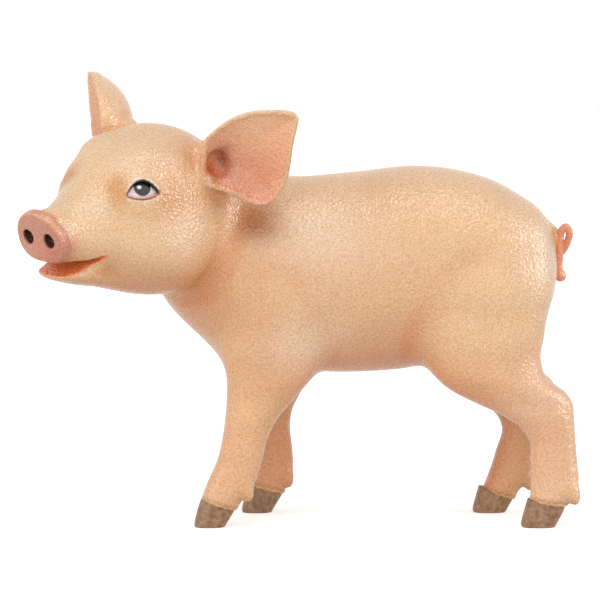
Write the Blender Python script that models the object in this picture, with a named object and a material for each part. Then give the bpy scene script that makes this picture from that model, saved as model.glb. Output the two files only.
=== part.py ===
"""A standing piglet, carved in wood and painted: the carving's solids.

The figure is one smooth field of distances, a blend of lofts, ellipsoids and sheets
that are named for the parts of the body. The field is meshed once, and the mesh is
then parted, with thin cuts, where a person would name its parts.

The script's own unit is the millimetre, and MM turns it into Blender's metre.
+X is towards the tail, -X towards the head, -Y is the pig's left, and Z is up from
the floor. The head has its own frame: forward, left and up, with its origin in the
middle of the skull, on the line of the mouth.
"""

import math

import bmesh
import bpy
import numpy as np
from mathutils import Vector

MM = 0.001

# ---------------------------------------------------------------- driving dimensions

# The meshes: the step of each grid, and the triangles left for each kind of piece.
BODY_GRID, BODY_TRIANGLES = 0.5, 4200
HOOF_GRID, HOOF_TRIANGLES = 0.4, 140
TAIL_GRID, TAIL_TRIANGLES = 0.25, 560
EYE_AROUND, EYE_RINGS = 16, 8

# The figure's middle on the floor, which becomes the origin, and the width of each cut.
MIDDLE = (0.825, -15.130)
CUT_GAP = 0.3

# A loft's stations: its place along, its low and high edge, its middle, its half width.
TRUNK = (
    (-30.0, 58.0, 85.0, 0.0, 14.0),
    (-20.0, 47.0, 89.0, 0.0, 20.0),
    (-10.0, 41.5, 90.5, 0.0, 22.5),
    (2.0, 39.6, 90.9, 0.0, 23.0),
    (16.0, 39.3, 92.2, 0.0, 23.3),
    (30.0, 40.6, 93.6, 0.0, 23.0),
    (42.0, 44.0, 92.4, 0.0, 22.4),
    (53.0, 48.5, 88.8, 0.0, 21.0),
    (60.0, 53.6, 84.6, 0.0, 18.0),
)
TRUNK_CAPS = (8.0, 7.4)
TRUNK_SQUARE = 2.25
CAP_SQUARE = 2.5

NECK_PLACE, NECK_RADII = (-20.0, -2.5, 69.5), (17.5, 17.5, 18.5)
CHEST_PLACE, CHEST_RADII = (-10.5, 0.0, 56.0), (12.0, 15.0, 15.0)
CHEST_FILLET, LEG_FILLET, NECK_FILLET, HEAD_FILLET = 8.0, 7.0, 12.0, 5.0

# The legs, station by station up from the sole: front edge, rear edge, middle, half.
# Each foot stands where it was set down, so all four legs differ a little.
FORELEG = (
    (4.0, -26.4, -16.7, 15.0, 5.0),
    (6.5, -26.0, -15.2, 15.0, 5.3),
    (9.0, -25.2, -13.1, 15.0, 5.4),
    (12.0, -24.0, -11.5, 15.0, 5.3),
    (17.5, -21.6, -9.8, 14.8, 5.1),
    (23.0, -20.3, -8.5, 14.6, 5.3),
    (28.0, -19.6, -6.0, 14.4, 5.9),
    (33.0, -19.2, -1.8, 13.8, 6.8),
    (38.5, -19.2, 2.6, 13.6, 7.9),
    (46.0, -20.6, 3.4, 12.8, 9.6),
    (54.0, -20.0, 1.5, 12.0, 10.2),
)
HINDLEG = (
    (4.0, 59.8, 69.4, 15.2, 5.0),
    (6.5, 60.0, 70.4, 15.2, 5.3),
    (9.0, 60.2, 72.2, 15.2, 5.4),
    (12.0, 60.3, 72.8, 15.2, 5.2),
    (17.0, 60.2, 72.4, 15.1, 5.0),
    (23.0, 59.6, 71.9, 15.0, 5.2),
    (26.6, 56.6, 71.7, 14.9, 5.7),
    (29.2, 52.6, 71.5, 14.8, 6.2),
    (32.0, 46.4, 71.2, 14.3, 7.0),
    (35.2, 40.0, 69.2, 14.1, 8.0),
    (38.5, 35.8, 64.8, 13.9, 9.0),
    (43.0, 33.4, 63.0, 13.2, 10.0),
    (50.0, 33.0, 63.8, 12.8, 10.8),
    (58.0, 35.5, 64.8, 12.2, 10.9),
)
LEG_CAPS = (4.0, 11.0)
LEG_SQUARE = 2.3
SHIFT_LEVEL, SHIFT_TOP = 5.0, 40.0

DEWCLAW_RADII, DEWCLAW_APART, DEWCLAW_FILLET = (3.2, 1.8, 1.8), 2.5, 1.5
DEWCLAW_DOWN, DEWCLAW_BACK = (0.25, 0.1, -1.0), (1.0, 0.0, 0.25)
FORE_DEWCLAW, HIND_DEWCLAW = (-14.0, 15.0, 9.9), (71.2, 15.2, 9.0)

FORE_HOOF = (
    (-2.0, -27.2, -20.8, 15.0, 4.6),
    (0.0, -27.6, -19.6, 15.0, 4.8),
    (4.0, -26.9, -17.2, 15.0, 4.8),
    (10.0, -24.8, -13.8, 15.0, 4.5),
)
HIND_HOOF = (
    (-2.0, 58.2, 65.6, 15.2, 4.6),
    (0.0, 57.8, 66.6, 15.2, 4.8),
    (4.0, 58.6, 68.8, 15.2, 4.8),
    (10.0, 60.4, 70.2, 15.2, 4.5),
)
HOOF_SQUARE = 2.8
HOOF_CAPS = (2.0, 2.0)
CLEFT_HALF, CLEFT_DEPTH, CLEFT_EASE = 0.45, 3.6, 0.5

# Each foot: its leg, dewclaws and hoof, its side, how far its foot is shifted along X,
# and the hairline that the hoof comes out of, as a height at the toe and at the heel.
FEET = {
    "front_left": (FORELEG, FORE_DEWCLAW, FORE_HOOF, -1.0, 0.0, (7.8, 4.5)),
    "front_right": (FORELEG, FORE_DEWCLAW, FORE_HOOF, 1.0, 12.0, (8.1, 5.4)),
    "hind_left": (HINDLEG, HIND_DEWCLAW, HIND_HOOF, -1.0, 0.0, (7.3, 5.6)),
    "hind_right": (HINDLEG, HIND_DEWCLAW, HIND_HOOF, 1.0, -11.4, (7.2, 3.6)),
}


def unit(v):
    """The vector at length one."""
    v = np.asarray(v, float)
    return v / np.linalg.norm(v)


# The head: where its frame is, and how it is turned to the left, raised and tipped.
HEAD_PLACE = (-33.0, -8.0, 68.5)
HEAD_YAW, HEAD_PITCH, HEAD_ROLL = 50.0, 2.0, 7.5

SKULL = (
    (-8.0, 0.0, 29.5, 0.0, 15.5),
    (0.0, -3.5, 33.8, 0.0, 18.0),
    (10.0, -4.2, 36.6, 0.0, 19.2),
    (19.0, -4.4, 36.0, 0.0, 19.0),
    (26.0, -4.2, 32.8, 0.0, 17.0),
    (32.0, -3.0, 28.2, 0.0, 14.2),
    (37.0, -1.0, 22.8, 0.0, 11.5),
    (42.0, 0.4, 18.4, 0.0, 9.2),
    (47.0, 1.0, 15.4, 0.0, 7.6),
    (50.0, 1.2, 14.6, 0.0, 7.4),
)
SKULL_CAPS = (8.0, 2.0)
SKULL_SQUARE, SKULL_TAPER = 2.2, 0.15

JAW = (
    (6.0, -4.5, 4.0, 0.0, 13.0),
    (16.0, -4.8, 4.0, 0.0, 12.0),
    (26.0, -5.3, 3.5, 0.0, 10.3),
    (36.0, -5.0, 2.6, 0.0, 8.2),
    (41.0, -4.5, 1.6, 0.0, 6.9),
    (45.0, -3.8, 0.4, 0.0, 5.6),
)
JAW_CAPS = (8.0, 2.6)

CHEEK_PLACE, CHEEK_RADII = (17.0, 8.0, 4.5), (14.0, 10.5, 9.0)
BROW_PLACE, BROW_RADII = (23.5, 8.0, 27.5), (6.5, 4.5, 4.0)
JAW_FILLET, CHEEK_FILLET, BROW_FILLET, LID_FILLET, DISC_FILLET = 3.0, 8.0, 5.0, 2.5, 1.2

# The mouth: its upper and lower lips in side view, from the corner, and its depth.
MOUTH = (
    (38.4, 2.7, 4.1),
    (39.8, 1.5, 3.3),
    (41.0, 0.5, 2.7),
    (44.0, -1.0, 2.1),
    (48.0, -2.3, 1.4),
    (54.0, -3.2, 1.0),
)
MOUTH_DEPTH, MOUTH_EASE = 4.0, 0.5

# The snout's disc, tilted so that its top stands furthest forward.
DISC_PLACE, DISC_TILT = (51.2, 0.0, 7.8), 30.0
DISC_HALF_WIDTH, DISC_HALF_HEIGHT, DISC_HALF_THICK = 7.9, 7.4, 1.5
DISC_ROUND, DISC_TAPER = 1.0, 0.012
NOSTRIL_PLACE, NOSTRIL_RADII, NOSTRIL_EASE = (3.6, 0.05), (1.55, 1.85, 3.0), 0.6

# An eye is a lens, set in the flesh behind an opening between two lids.
EYE_PLACE, EYE_RADII = (28.8, 10.9, 19.8), (6.2, 4.8, 3.0)
EYE_OUTWARD, EYE_SLANT = (0.54, 0.80, 0.27), 9.0
EYE_OPENING_HALF, EYE_OPENING_UP, EYE_OPENING_DOWN = 4.3, 3.2, 1.1
LID_RADII = (7.4, 6.2, 3.8)

# An ear is a cup on its own axis, with a leaf's outline for its rim: each point of the
# outline is a place along the ear and one across it, towards its lobe.
EAR_ROOT = (12.5, 16.5, 29.5)
EAR_ALONG = (-0.435, 0.702, 0.563)
EAR_OPENS = (0.80, 0.585, -0.11)
EAR_OUTLINE = (
    (-0.9, 1.7),
    (1.0, -2.3),
    (3.2, -4.9),
    (7.4, -6.1),
    (11.7, -6.6),
    (16.6, -6.0),
    (21.5, -4.1),
    (26.3, -1.2),
    (27.2, 1.0),
    (26.2, 2.6),
    (22.6, 6.8),
    (17.8, 13.2),
    (14.5, 15.8),
    (10.3, 17.5),
    (6.3, 15.8),
    (2.2, 10.8),
    (-1.2, 6.5),
    (-1.6, 4.2),
)
EAR_HALF_THICK, EAR_ROOT_THICK, EAR_ROOT_REACH = 0.75, 1.2, 16.0
EAR_HOLLOW, EAR_HOLLOW_ROOT, EAR_BACK, EAR_WALL = 2.6, 3.2, 9.0, 9.0
EAR_RIM_FRONT, EAR_RIM_SLOPE = 0.8, 0.09
EAR_PAD, EAR_PAD_RADII = (2.0, 2.5, -6.0), (6.0, 6.5, 3.6)
EAR_CANAL, EAR_CANAL_RADII = (2.4, 2.2, -2.3), (2.3, 2.8, 1.7)
EAR_FILLET, EAR_EASE, EAR_PAD_FILLET, EAR_CANAL_FILLET, EAR_OPEN = 3.5, 1.0, 3.0, 4.0, 6.0

# The tail: its middle line from root to tip, with the radius at each point.
TAIL = (
    (63.5, 0.4, 76.3, 2.2),
    (66.4, 0.5, 75.7, 1.8),
    (67.6, 0.5, 73.8, 1.2),
    (68.5, 0.4, 71.0, 1.1),
    (69.5, 0.2, 71.5, 1.0),
    (70.7, -0.1, 74.0, 0.95),
    (71.0, -0.5, 76.0, 1.0),
    (70.1, -0.8, 77.4, 1.05),
    (69.0, -0.8, 76.6, 1.0),
    (68.6, -0.8, 74.6, 0.95),
    (68.4, -0.8, 72.2, 1.1),
    (68.3, -0.8, 69.8, 1.15),
    (68.25, -0.9, 67.6, 1.0),
    (68.4, -0.9, 65.9, 1.1),
    (68.65, -0.9, 64.6, 1.6),
)



# The tail's tip is parted from its loop on this level.
TAIL_PARTED = 68.0

# Where the flesh is parted. The ears: how far along the ear. The lower jaw: a bent cut
# in side view, from the mouth to the throat. The snout: how far forward.
EAR_PARTED = 2.6
JAW_PARTED = ((60.0, -1.8), (48.0, -0.45), (44.0, 0.55), (41.0, 1.6), (36.5, 4.0), (21.0, -13.0))
SNOUT_PARTED = 39.0
HEAD_BLADE = 24.0

# The head and the neck: a place on each flat cut, its turn to the left and its lean.
HEAD_PARTED, HEAD_TURN, HEAD_LEAN = (-34.0, -8.0, 80.0), 38.0, 10.0
NECK_PARTED, NECK_TURN, NECK_LEAN = (-19.5, 0.0, 72.0), 0.0, 16.0
NECK_BLADE = 34.0

# Each leg is parted by a dome with a straight skirt: its middle, radii and lowest level.
FORE_DOME, FORE_DOME_RADII, FORE_SKIRT = (-9.0, 14.9, 39.0), (15.5, 13.0, 21.0), 32.5
HIND_DOME, HIND_DOME_RADII, HIND_SKIRT = (49.5, 14.9, 41.0), (20.5, 12.8, 24.0), 35.5
DOME_AROUND, DOME_RINGS = 16, 4

# Boxes, low corner and high, that hold the flesh, the tail and, about a foot, a hoof.
FLESH_BOX = (-80.0, -62.0, -4.0), (76.0, 34.0, 124.0)
TAIL_BOX = (60.0, -6.0, 58.0), (78.0, 6.0, 84.0)
HOOF_BOX = (-3.0, -8.0, -4.0), (6.0, 8.0, 14.0)
# The block under a hairline, ahead of the toe and behind it, and the block under the floor.
UNDER_AHEAD, UNDER_BEHIND, UNDER_HALF, UNDER_DEEP = 9.0, 15.0, 9.0, 8.0
FLOOR_RING, FLOOR_DEEP = ((-90.0, -70.0), (90.0, -70.0), (90.0, 50.0), (-90.0, 50.0)), 12.0


# ---------------------------------------------------------------- distance functions


def smooth_curve(x, stations):
    """A smooth curve through the stations, straight beyond them: values at each x."""
    table = np.asarray(stations, float)
    at, values = table[:, 0], table[:, 1:]
    slope = np.gradient(values, at, axis=0)
    kept = np.clip(x, at[0], at[-1])
    i = np.clip(np.searchsorted(at, kept) - 1, 0, len(at) - 2)
    width = (at[i + 1] - at[i])[:, None]
    t = (kept - at[i])[:, None] / width
    return (
        (2 * t**3 - 3 * t**2 + 1) * values[i]
        + (t**3 - 2 * t**2 + t) * width * slope[i]
        + (3 * t**2 - 2 * t**3) * values[i + 1]
        + (t**3 - t**2) * width * slope[i + 1]
        + np.minimum(x - at[0], 0.0)[:, None] * slope[0]
        + np.maximum(x - at[-1], 0.0)[:, None] * slope[-1]
    )


def join(a, b, k):
    """Smooth union of two distances, with a fillet about k wide."""
    h = np.maximum(k - np.abs(a - b), 0.0) / k
    return np.minimum(a, b) - h * h * k * 0.25


def cut(a, b, k):
    """The first solid with the second taken away, its edge eased about k wide."""
    return -join(-a, b, k)


def ellipsoid(p, centre, radii, axes=None):
    """Distance to an ellipsoid, whose axes are the rows of a rotation."""
    q = p - np.asarray(centre, float)
    if axes is not None:
        q = q @ np.asarray(axes, float).T
    radii = np.asarray(radii, float)
    inner = np.linalg.norm(q / radii, axis=1)
    outer = np.linalg.norm(q / radii**2, axis=1)
    return inner * (inner - 1.0) / np.maximum(outer, 1e-9)


def loft(along, across, rise, stations, caps, square, taper=0.0):
    """Distance to a body of rounded sections, whose size follows the stations."""
    first, last = stations[0][0], stations[-1][0]
    kept = np.clip(along, first - caps[0], last + caps[1])
    low, high, middle, half = smooth_curve(kept, stations).T
    tall = (high - low) / 2.0
    v = (rise - (low + high) / 2.0) / tall
    wide = half * (1.0 - taper * np.clip(v, -1.0, 1.0))
    u = (across - middle) / wide
    cap = np.where(along < first, caps[0], caps[1])
    end = np.maximum(np.maximum(first - along, along - last), 0.0) / cap
    section = (np.abs(u) ** square + np.abs(v) ** square) ** (CAP_SQUARE / square)
    reach = (section + end**CAP_SQUARE) ** (1.0 / CAP_SQUARE)
    slope = np.sqrt((u / wide) ** 2 + (v / tall) ** 2 + (end / cap) ** 2)
    return reach * (reach - 1.0) / np.maximum(slope, 1e-9)


def closed_curve(points, each=5):
    """A smooth closed outline through the points, as a fine polygon."""
    p = np.asarray(points, float)
    before, after, beyond = np.roll(p, 1, 0), np.roll(p, -1, 0), np.roll(p, -2, 0)
    rows = []
    for t in np.arange(each) / each:
        rows.append(
            0.5
            * (
                2 * p
                + (after - before) * t
                + (2 * before - 5 * p + 4 * after - beyond) * t**2
                + (3 * p - before - 3 * after + beyond) * t**3
            )
        )
    return np.stack(rows, axis=1).reshape(-1, 2)


def polygon_distance(x, y, polygon):
    """Distance to a polygon in its plane, negative inside it."""
    best = np.full(len(x), np.inf)
    inside = np.zeros(len(x), bool)
    for (ax, ay), (bx, by) in zip(polygon, np.roll(polygon, -1, 0)):
        ex, ey = bx - ax, by - ay
        t = np.clip(((x - ax) * ex + (y - ay) * ey) / (ex * ex + ey * ey), 0.0, 1.0)
        best = np.minimum(best, (x - ax - ex * t) ** 2 + (y - ay - ey * t) ** 2)
        crosses = (ay > y) != (by > y)
        if ay != by:
            inside ^= crosses & (x < ax + (y - ay) * ex / ey)
    return np.where(inside, -1.0, 1.0) * np.sqrt(best)


def strand(p, line, each=8):
    """Distance to a round strand along a smooth line of points with radii."""
    line = np.asarray(line, float)
    place = np.arange(len(line), dtype=float)
    fine = smooth_curve(np.linspace(0, len(line) - 1, each * (len(line) - 1) + 1),
                        np.column_stack([place, line]))
    best = np.full(len(p), np.inf)
    for a, b in zip(fine[:-1], fine[1:]):
        along = b[:3] - a[:3]
        t = np.clip((p - a[:3]) @ along / (along @ along), 0.0, 1.0)
        gap = np.linalg.norm(p - a[:3] - t[:, None] * along, axis=1)
        best = np.minimum(best, gap - a[3] - t * (b[3] - a[3]))
    return best


# ---------------------------------------------------------------- the head's frame


def head_axes():
    """The head's forward, left and up, as the rows of a rotation."""
    yaw, pitch, roll = (math.radians(a) for a in (HEAD_YAW, HEAD_PITCH, HEAD_ROLL))
    level = np.array([-math.cos(yaw), -math.sin(yaw), 0.0])
    left = np.array([math.sin(yaw), -math.cos(yaw), 0.0])
    forward = math.cos(pitch) * level + math.sin(pitch) * np.array([0.0, 0.0, 1.0])
    up = -math.sin(pitch) * level + math.cos(pitch) * np.array([0.0, 0.0, 1.0])
    tipped = math.cos(roll) * left - math.sin(roll) * up
    return np.array([forward, tipped, math.sin(roll) * left + math.cos(roll) * up])


HEAD_AXES = head_axes()


def to_head(p):
    """Points of the world in the head's frame."""
    return (p - np.asarray(HEAD_PLACE)) @ HEAD_AXES.T


def from_head(h):
    """Points of the head's frame in the world."""
    return np.asarray(h, float) @ HEAD_AXES + np.asarray(HEAD_PLACE)


def frame_of(along, facing):
    """Three axes as rows: along, across and facing, made square to each other."""
    along = unit(along)
    facing = unit(np.asarray(facing) - along * np.dot(along, facing))
    return np.array([along, np.cross(facing, along), facing])


# ---------------------------------------------------------------- parts of the head


def ear_frame():
    """The left ear's axes in the head's frame: along, towards the lower edge, opening."""
    axes = frame_of(EAR_ALONG, EAR_OPENS)
    if axes[1][2] > 0.0:
        axes[1] = -axes[1]
    return axes


def ear(h):
    """Distances to the left ear, thick behind and thin at its rim, and to its hollow."""
    q = (h - np.asarray(EAR_ROOT)) @ ear_frame().T
    along, across, out = q.T
    rim = polygon_distance(along, across, closed_curve(EAR_OUTLINE))
    wall = 1.0 - np.clip(-rim / EAR_WALL, 0.0, 1.0)
    near_root = np.clip(1.0 - along / EAR_ROOT_REACH, 0.0, 1.0)
    half = EAR_HALF_THICK + (EAR_ROOT_THICK - EAR_HALF_THICK) * near_root
    face = EAR_RIM_FRONT - EAR_RIM_SLOPE * across
    hollow_depth = EAR_HOLLOW + EAR_HOLLOW_ROOT * near_root
    sheets = []
    for deep in (hollow_depth, EAR_BACK - EAR_HALF_THICK):
        steep = 2.0 * deep / EAR_WALL * wall
        sheets.append((out - face + deep * (1.0 - wall**2)) / np.sqrt(1.0 + steep**2))
    height = sheets[0]
    between = np.maximum(np.maximum(height, -sheets[1]), rim + half)
    cup = np.hypot(np.maximum(rim + half, 0.0), height) - half
    cup = join(cup, between - EAR_HALF_THICK, EAR_HALF_THICK)
    hollow = np.maximum(np.maximum(rim + 2.0 * half, half + CUT_GAP - height), out - EAR_OPEN)
    pad = ellipsoid(q, EAR_PAD, EAR_PAD_RADII)
    canal = ellipsoid(q, EAR_CANAL, EAR_CANAL_RADII)
    return join(cup, pad, EAR_PAD_FILLET), join(hollow, canal, EAR_CANAL_FILLET)


def eye_axes():
    """The left eye's axes in the head's frame: backward, up and outward."""
    outward, slant = unit(EYE_OUTWARD), math.radians(EYE_SLANT)
    level = unit(np.cross(np.array([0.0, 0.0, 1.0]), outward))
    rise = np.cross(outward, level)
    back = math.cos(slant) * level + math.sin(slant) * rise
    return np.array([back, np.cross(outward, back), outward])


def lid_height(across, rising):
    """How far the upper or lower lid's edge stands from the line between the corners."""
    lid = np.where(rising, EYE_OPENING_UP, EYE_OPENING_DOWN)
    return lid * np.maximum(1.0 - (across / EYE_OPENING_HALF) ** 2, 0.0)


def disc_frame(h):
    """Points in the snout disc's frame: outward, left, up its face."""
    tilt = math.radians(DISC_TILT)
    q = h - np.asarray(DISC_PLACE)
    out = math.cos(tilt) * q[:, 0] - math.sin(tilt) * q[:, 2]
    rise = math.sin(tilt) * q[:, 0] + math.cos(tilt) * q[:, 2]
    return out, q[:, 1], rise


def snout_disc(h):
    """Distance to the disc of the snout, with its two nostrils."""
    out, side, rise = disc_frame(h)
    wide = DISC_HALF_WIDTH * (1.0 - DISC_TAPER * rise)
    reach = np.hypot(side / wide, rise / DISC_HALF_HEIGHT)
    beside = (reach - 1.0) * DISC_HALF_HEIGHT + DISC_ROUND
    before = np.abs(out) - DISC_HALF_THICK + DISC_ROUND
    inner = np.minimum(np.maximum(beside, before), 0.0)
    return np.hypot(np.maximum(beside, 0.0), np.maximum(before, 0.0)) + inner - DISC_ROUND


def nostril(h):
    """Distance to the left nostril's hollow."""
    out, side, rise = disc_frame(h)
    place = np.column_stack([side - NOSTRIL_PLACE[0], rise - NOSTRIL_PLACE[1],
                             out - DISC_HALF_THICK])
    return ellipsoid(place, (0.0, 0.0, 0.0), NOSTRIL_RADII)


def mouth(h, flesh):
    """Distance to the slit of the mouth, as deep as it is carved into the flesh."""
    low, high = smooth_curve(h[:, 0], MOUTH).T
    half = (high - low) / 2.0
    before = np.maximum(MOUTH[0][0] - h[:, 0], 0.0)
    slit = np.hypot(before, h[:, 2] - (low + high) / 2.0) - half
    return np.maximum(slit, -(flesh + MOUTH_DEPTH))


def uncut_head(h):
    """Distance to the head's flesh before its mouth, nostrils and ears are worked."""
    mirrored = np.column_stack([h[:, 0], np.abs(h[:, 1]), h[:, 2]])
    d = loft(h[:, 0], h[:, 1], h[:, 2], SKULL, SKULL_CAPS, SKULL_SQUARE, SKULL_TAPER)
    d = join(d, loft(h[:, 0], h[:, 1], h[:, 2], JAW, JAW_CAPS, SKULL_SQUARE), JAW_FILLET)
    d = join(d, ellipsoid(mirrored, CHEEK_PLACE, CHEEK_RADII), CHEEK_FILLET)
    d = join(d, ellipsoid(mirrored, BROW_PLACE, BROW_RADII), BROW_FILLET)
    d = join(d, ellipsoid(mirrored, EYE_PLACE, LID_RADII, eye_axes()), LID_FILLET)
    return join(d, snout_disc(h), DISC_FILLET)


def head(h):
    """Distance to the head's flesh, in the head's frame."""
    mirrored = np.column_stack([h[:, 0], np.abs(h[:, 1]), h[:, 2]])
    d = uncut_head(h)
    d = cut(d, mouth(h, d), MOUTH_EASE)
    d = cut(d, nostril(mirrored), NOSTRIL_EASE)
    cup, hollow = ear(mirrored)
    return cut(join(d, cup, EAR_FILLET), hollow, EAR_EASE)


# ---------------------------------------------------------------- parts of the body


def lean_at(height):
    """How much of a foot's shift is left at a height: all of it low down, none at the top."""
    return np.clip((SHIFT_TOP - height) / (SHIFT_TOP - SHIFT_LEVEL), 0.0, 1.0)


def leg(p, stations, side, shift=0.0):
    """Distance to a leg on one side, its foot shifted along X and its top left alone."""
    lean = shift * lean_at(p[:, 2])
    return loft(p[:, 2], p[:, 1] * side, p[:, 0] - lean, stations, LEG_CAPS, LEG_SQUARE)


def dewclaws(p, place, side, shift):
    """Distance to the pair of small claws that point down and back behind a foot."""
    lean = shift * lean_at(place[2])
    q = p * np.array([1.0, side, 1.0]) - np.array([place[0] + lean, place[1], place[2]])
    q[:, 1] = np.abs(q[:, 1])
    axes = frame_of(DEWCLAW_DOWN, DEWCLAW_BACK)
    return ellipsoid(q, (0.0, DEWCLAW_APART, 0.0), DEWCLAW_RADII, axes)


def hoof(p, stations, side, shift):
    """Distance to a hoof, with the cleft between its two claws."""
    q = p - np.array([shift, 0.0, 0.0])
    d = loft(q[:, 2], q[:, 1] * side, q[:, 0], stations, HOOF_CAPS, HOOF_SQUARE)
    toe, middle = stations[2][1], stations[2][3]
    across = np.abs(q[:, 1] * side - middle) - CLEFT_HALF
    deep = q[:, 0] - (toe + CLEFT_DEPTH)
    return cut(d, np.maximum(across, deep), CLEFT_EASE)


def trunk_and_legs(p):
    """Distance to the flesh of the trunk, the legs and the neck."""
    d = loft(p[:, 0], p[:, 1], p[:, 2], TRUNK, TRUNK_CAPS, TRUNK_SQUARE)
    d = join(d, ellipsoid(p, CHEST_PLACE, CHEST_RADII), CHEST_FILLET)
    legs = np.full(len(p), np.inf)
    for stations, claws, _, side, shift, _ in FEET.values():
        one = leg(p, stations, side, shift)
        legs = np.minimum(legs, join(one, dewclaws(p, claws, side, shift), DEWCLAW_FILLET))
    d = join(d, legs, LEG_FILLET)
    return join(d, ellipsoid(p, NECK_PLACE, NECK_RADII), NECK_FILLET)


def body(p):
    """Distance to the flesh of the whole figure, without its tail and hooves."""
    return join(trunk_and_legs(p), head(to_head(p)), HEAD_FILLET)


def tail(p):
    """Distance to the tail, which stands clear of the rump."""
    return np.maximum(strand(p, TAIL), CUT_GAP - body(p))


# ---------------------------------------------------------------- from field to mesh


def sample(field, low, high, step, band=3.0, coarse=5):
    """The field on a grid, worked out in full only near its surface."""
    count = [int(math.ceil((b - a) / step / coarse)) * coarse for a, b in zip(low, high)]
    axes = [a + step * np.arange(n) for a, n in zip(low, count)]
    middles = [ax.reshape(-1, coarse).mean(axis=1) for ax in axes]
    grid = np.stack(np.meshgrid(*middles, indexing="ij"), axis=-1).reshape(-1, 3)
    rough = field(grid).reshape([len(m) for m in middles])
    values = rough
    for axis in range(3):
        values = np.repeat(values, coarse, axis=axis)
    near = np.argwhere(np.abs(values) < band + step * coarse * 0.9)
    points = np.column_stack([axes[k][near[:, k]] for k in range(3)])
    fine = np.concatenate([field(points[i : i + 200000]) for i in range(0, len(points), 200000)])
    values[near[:, 0], near[:, 1], near[:, 2]] = fine
    return values


def untangled(values, rounds=12):
    """The samples with each corner filled where two sheets would touch along an edge."""
    for _ in range(rounds):
        inside = values < 0.0
        fill = np.zeros(values.shape, bool)
        for axis in range(3):
            u, v = (axis + 1) % 3, (axis + 2) % 3
            at = {}
            for du in (0, 1):
                for dv in (0, 1):
                    place = [slice(None)] * 3
                    place[u] = slice(du, values.shape[u] - 1 + du)
                    place[v] = slice(dv, values.shape[v] - 1 + dv)
                    at[du, dv] = tuple(place)
            a, b, c, d = (inside[at[k]] for k in ((0, 0), (1, 0), (0, 1), (1, 1)))
            fill[at[1, 0]] |= a & d & ~b & ~c
            fill[at[0, 0]] |= b & c & ~a & ~d
        if not fill.any():
            break
        values = np.where(fill, -1e-3, values)
    return values


def surface_net(values, low, step):
    """A quad mesh at the field's zero: one vertex in each cell that the surface crosses."""
    values = untangled(values)
    inside = values < 0.0
    crossings, cells, quads = [], [], []
    for axis in range(3):
        one, two = [slice(None)] * 3, [slice(None)] * 3
        one[axis], two[axis] = slice(0, -1), slice(1, None)
        a, b = values[tuple(one)], values[tuple(two)]
        edge = np.argwhere(inside[tuple(one)] != inside[tuple(two)])
        va = a[edge[:, 0], edge[:, 1], edge[:, 2]]
        vb = b[edge[:, 0], edge[:, 1], edge[:, 2]]
        place = edge.astype(float)
        place[:, axis] += va / (va - vb)
        u, v = (axis + 1) % 3, (axis + 2) % 3
        around = []
        for du, dv in ((1, 1), (0, 1), (0, 0), (1, 0)):
            cell = edge.copy()
            cell[:, u] -= du
            cell[:, v] -= dv
            around.append(np.ravel_multi_index(cell.T, values.shape))
        around = np.stack(around, axis=1)
        leaving = va < 0.0
        quads.append(np.where(leaving[:, None], around, around[:, ::-1]))
        cells.append(around.ravel())
        crossings.append(np.repeat(place, 4, axis=0))
    used, index = np.unique(np.concatenate(cells), return_inverse=True)
    crossings = np.concatenate(crossings)
    count = np.bincount(index)
    vertices = np.column_stack([np.bincount(index, crossings[:, k]) / count for k in range(3)])
    faces = np.searchsorted(used, np.concatenate(quads))
    return vertices * step + np.asarray(low), faces


def settle(field, vertices, rounds=2, reach=0.4):
    """Vertices moved along the field's slope until they lie on its surface."""
    probe = 0.05
    for _ in range(rounds):
        value = field(vertices)
        slope = np.empty_like(vertices)
        for axis in range(3):
            offset = np.zeros(3)
            offset[axis] = probe
            slope[:, axis] = (field(vertices + offset) - field(vertices - offset)) / (2 * probe)
        steep = np.maximum((slope**2).sum(axis=1), 0.25)
        move = -slope * (value / steep)[:, None]
        length = np.linalg.norm(move, axis=1, keepdims=True)
        vertices = vertices + move * np.minimum(1.0, reach / np.maximum(length, 1e-9))
    return vertices




# ---------------------------------------------------------------- solids and cuts


def add_solid(name, mesh):
    """A new object of the mesh, standing in the scene."""
    thing = bpy.data.objects.new(name, mesh)
    bpy.context.collection.objects.link(thing)
    return thing


def raw_mesh(name, vertices, faces):
    """A mesh from vertices in millimetres about the figure's own origin."""
    moved = np.asarray(vertices, float) - np.array([MIDDLE[0], MIDDLE[1], 0.0])
    mesh = bpy.data.meshes.new(name)
    mesh.from_pydata((moved * MM).tolist(), [], [list(face) for face in faces])
    mesh.update()
    return mesh


def shaped(thing, name, kind, **settings):
    """The object with one modifier worked into its mesh."""
    change = thing.modifiers.new(kind, kind)
    for key, value in settings.items():
        setattr(change, key, value)
    seen = thing.evaluated_get(bpy.context.evaluated_depsgraph_get())
    mesh = bpy.data.meshes.new_from_object(seen)
    mesh.name = name
    bpy.data.objects.remove(thing)
    return add_solid(name, mesh)


def field_solid(name, field, low, high, step, triangles):
    """A closed solid of the field's surface, thinned to about the number of triangles."""
    vertices, faces = surface_net(sample(field, low, high, step), low, step)
    solid = add_solid(name, raw_mesh(name, settle(field, vertices), faces))
    return shaped(solid, name, "DECIMATE", ratio=triangles / (2.0 * len(faces)))


def blade(rows, round_about=False):
    """A thin closed sheet through rows of points, as thick as a cut is wide.

    Rows that go round about close on themselves, and the last of them gets a lid.
    """
    across = len(rows[0])
    points = [point for row in rows for point in row]
    faces = []
    for i in range(len(rows) - 1):
        for j in range(across if round_about else across - 1):
            k = (j + 1) % across
            this, above = i * across, (i + 1) * across
            faces.append((this + j, this + k, above + k, above + j))
    if round_about:
        faces.append([(len(rows) - 1) * across + j for j in range(across)])
    sheet = add_solid("blade", raw_mesh("blade", points, faces))
    return shaped(sheet, "blade", "SOLIDIFY", thickness=CUT_GAP * MM, offset=0.0)


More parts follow.
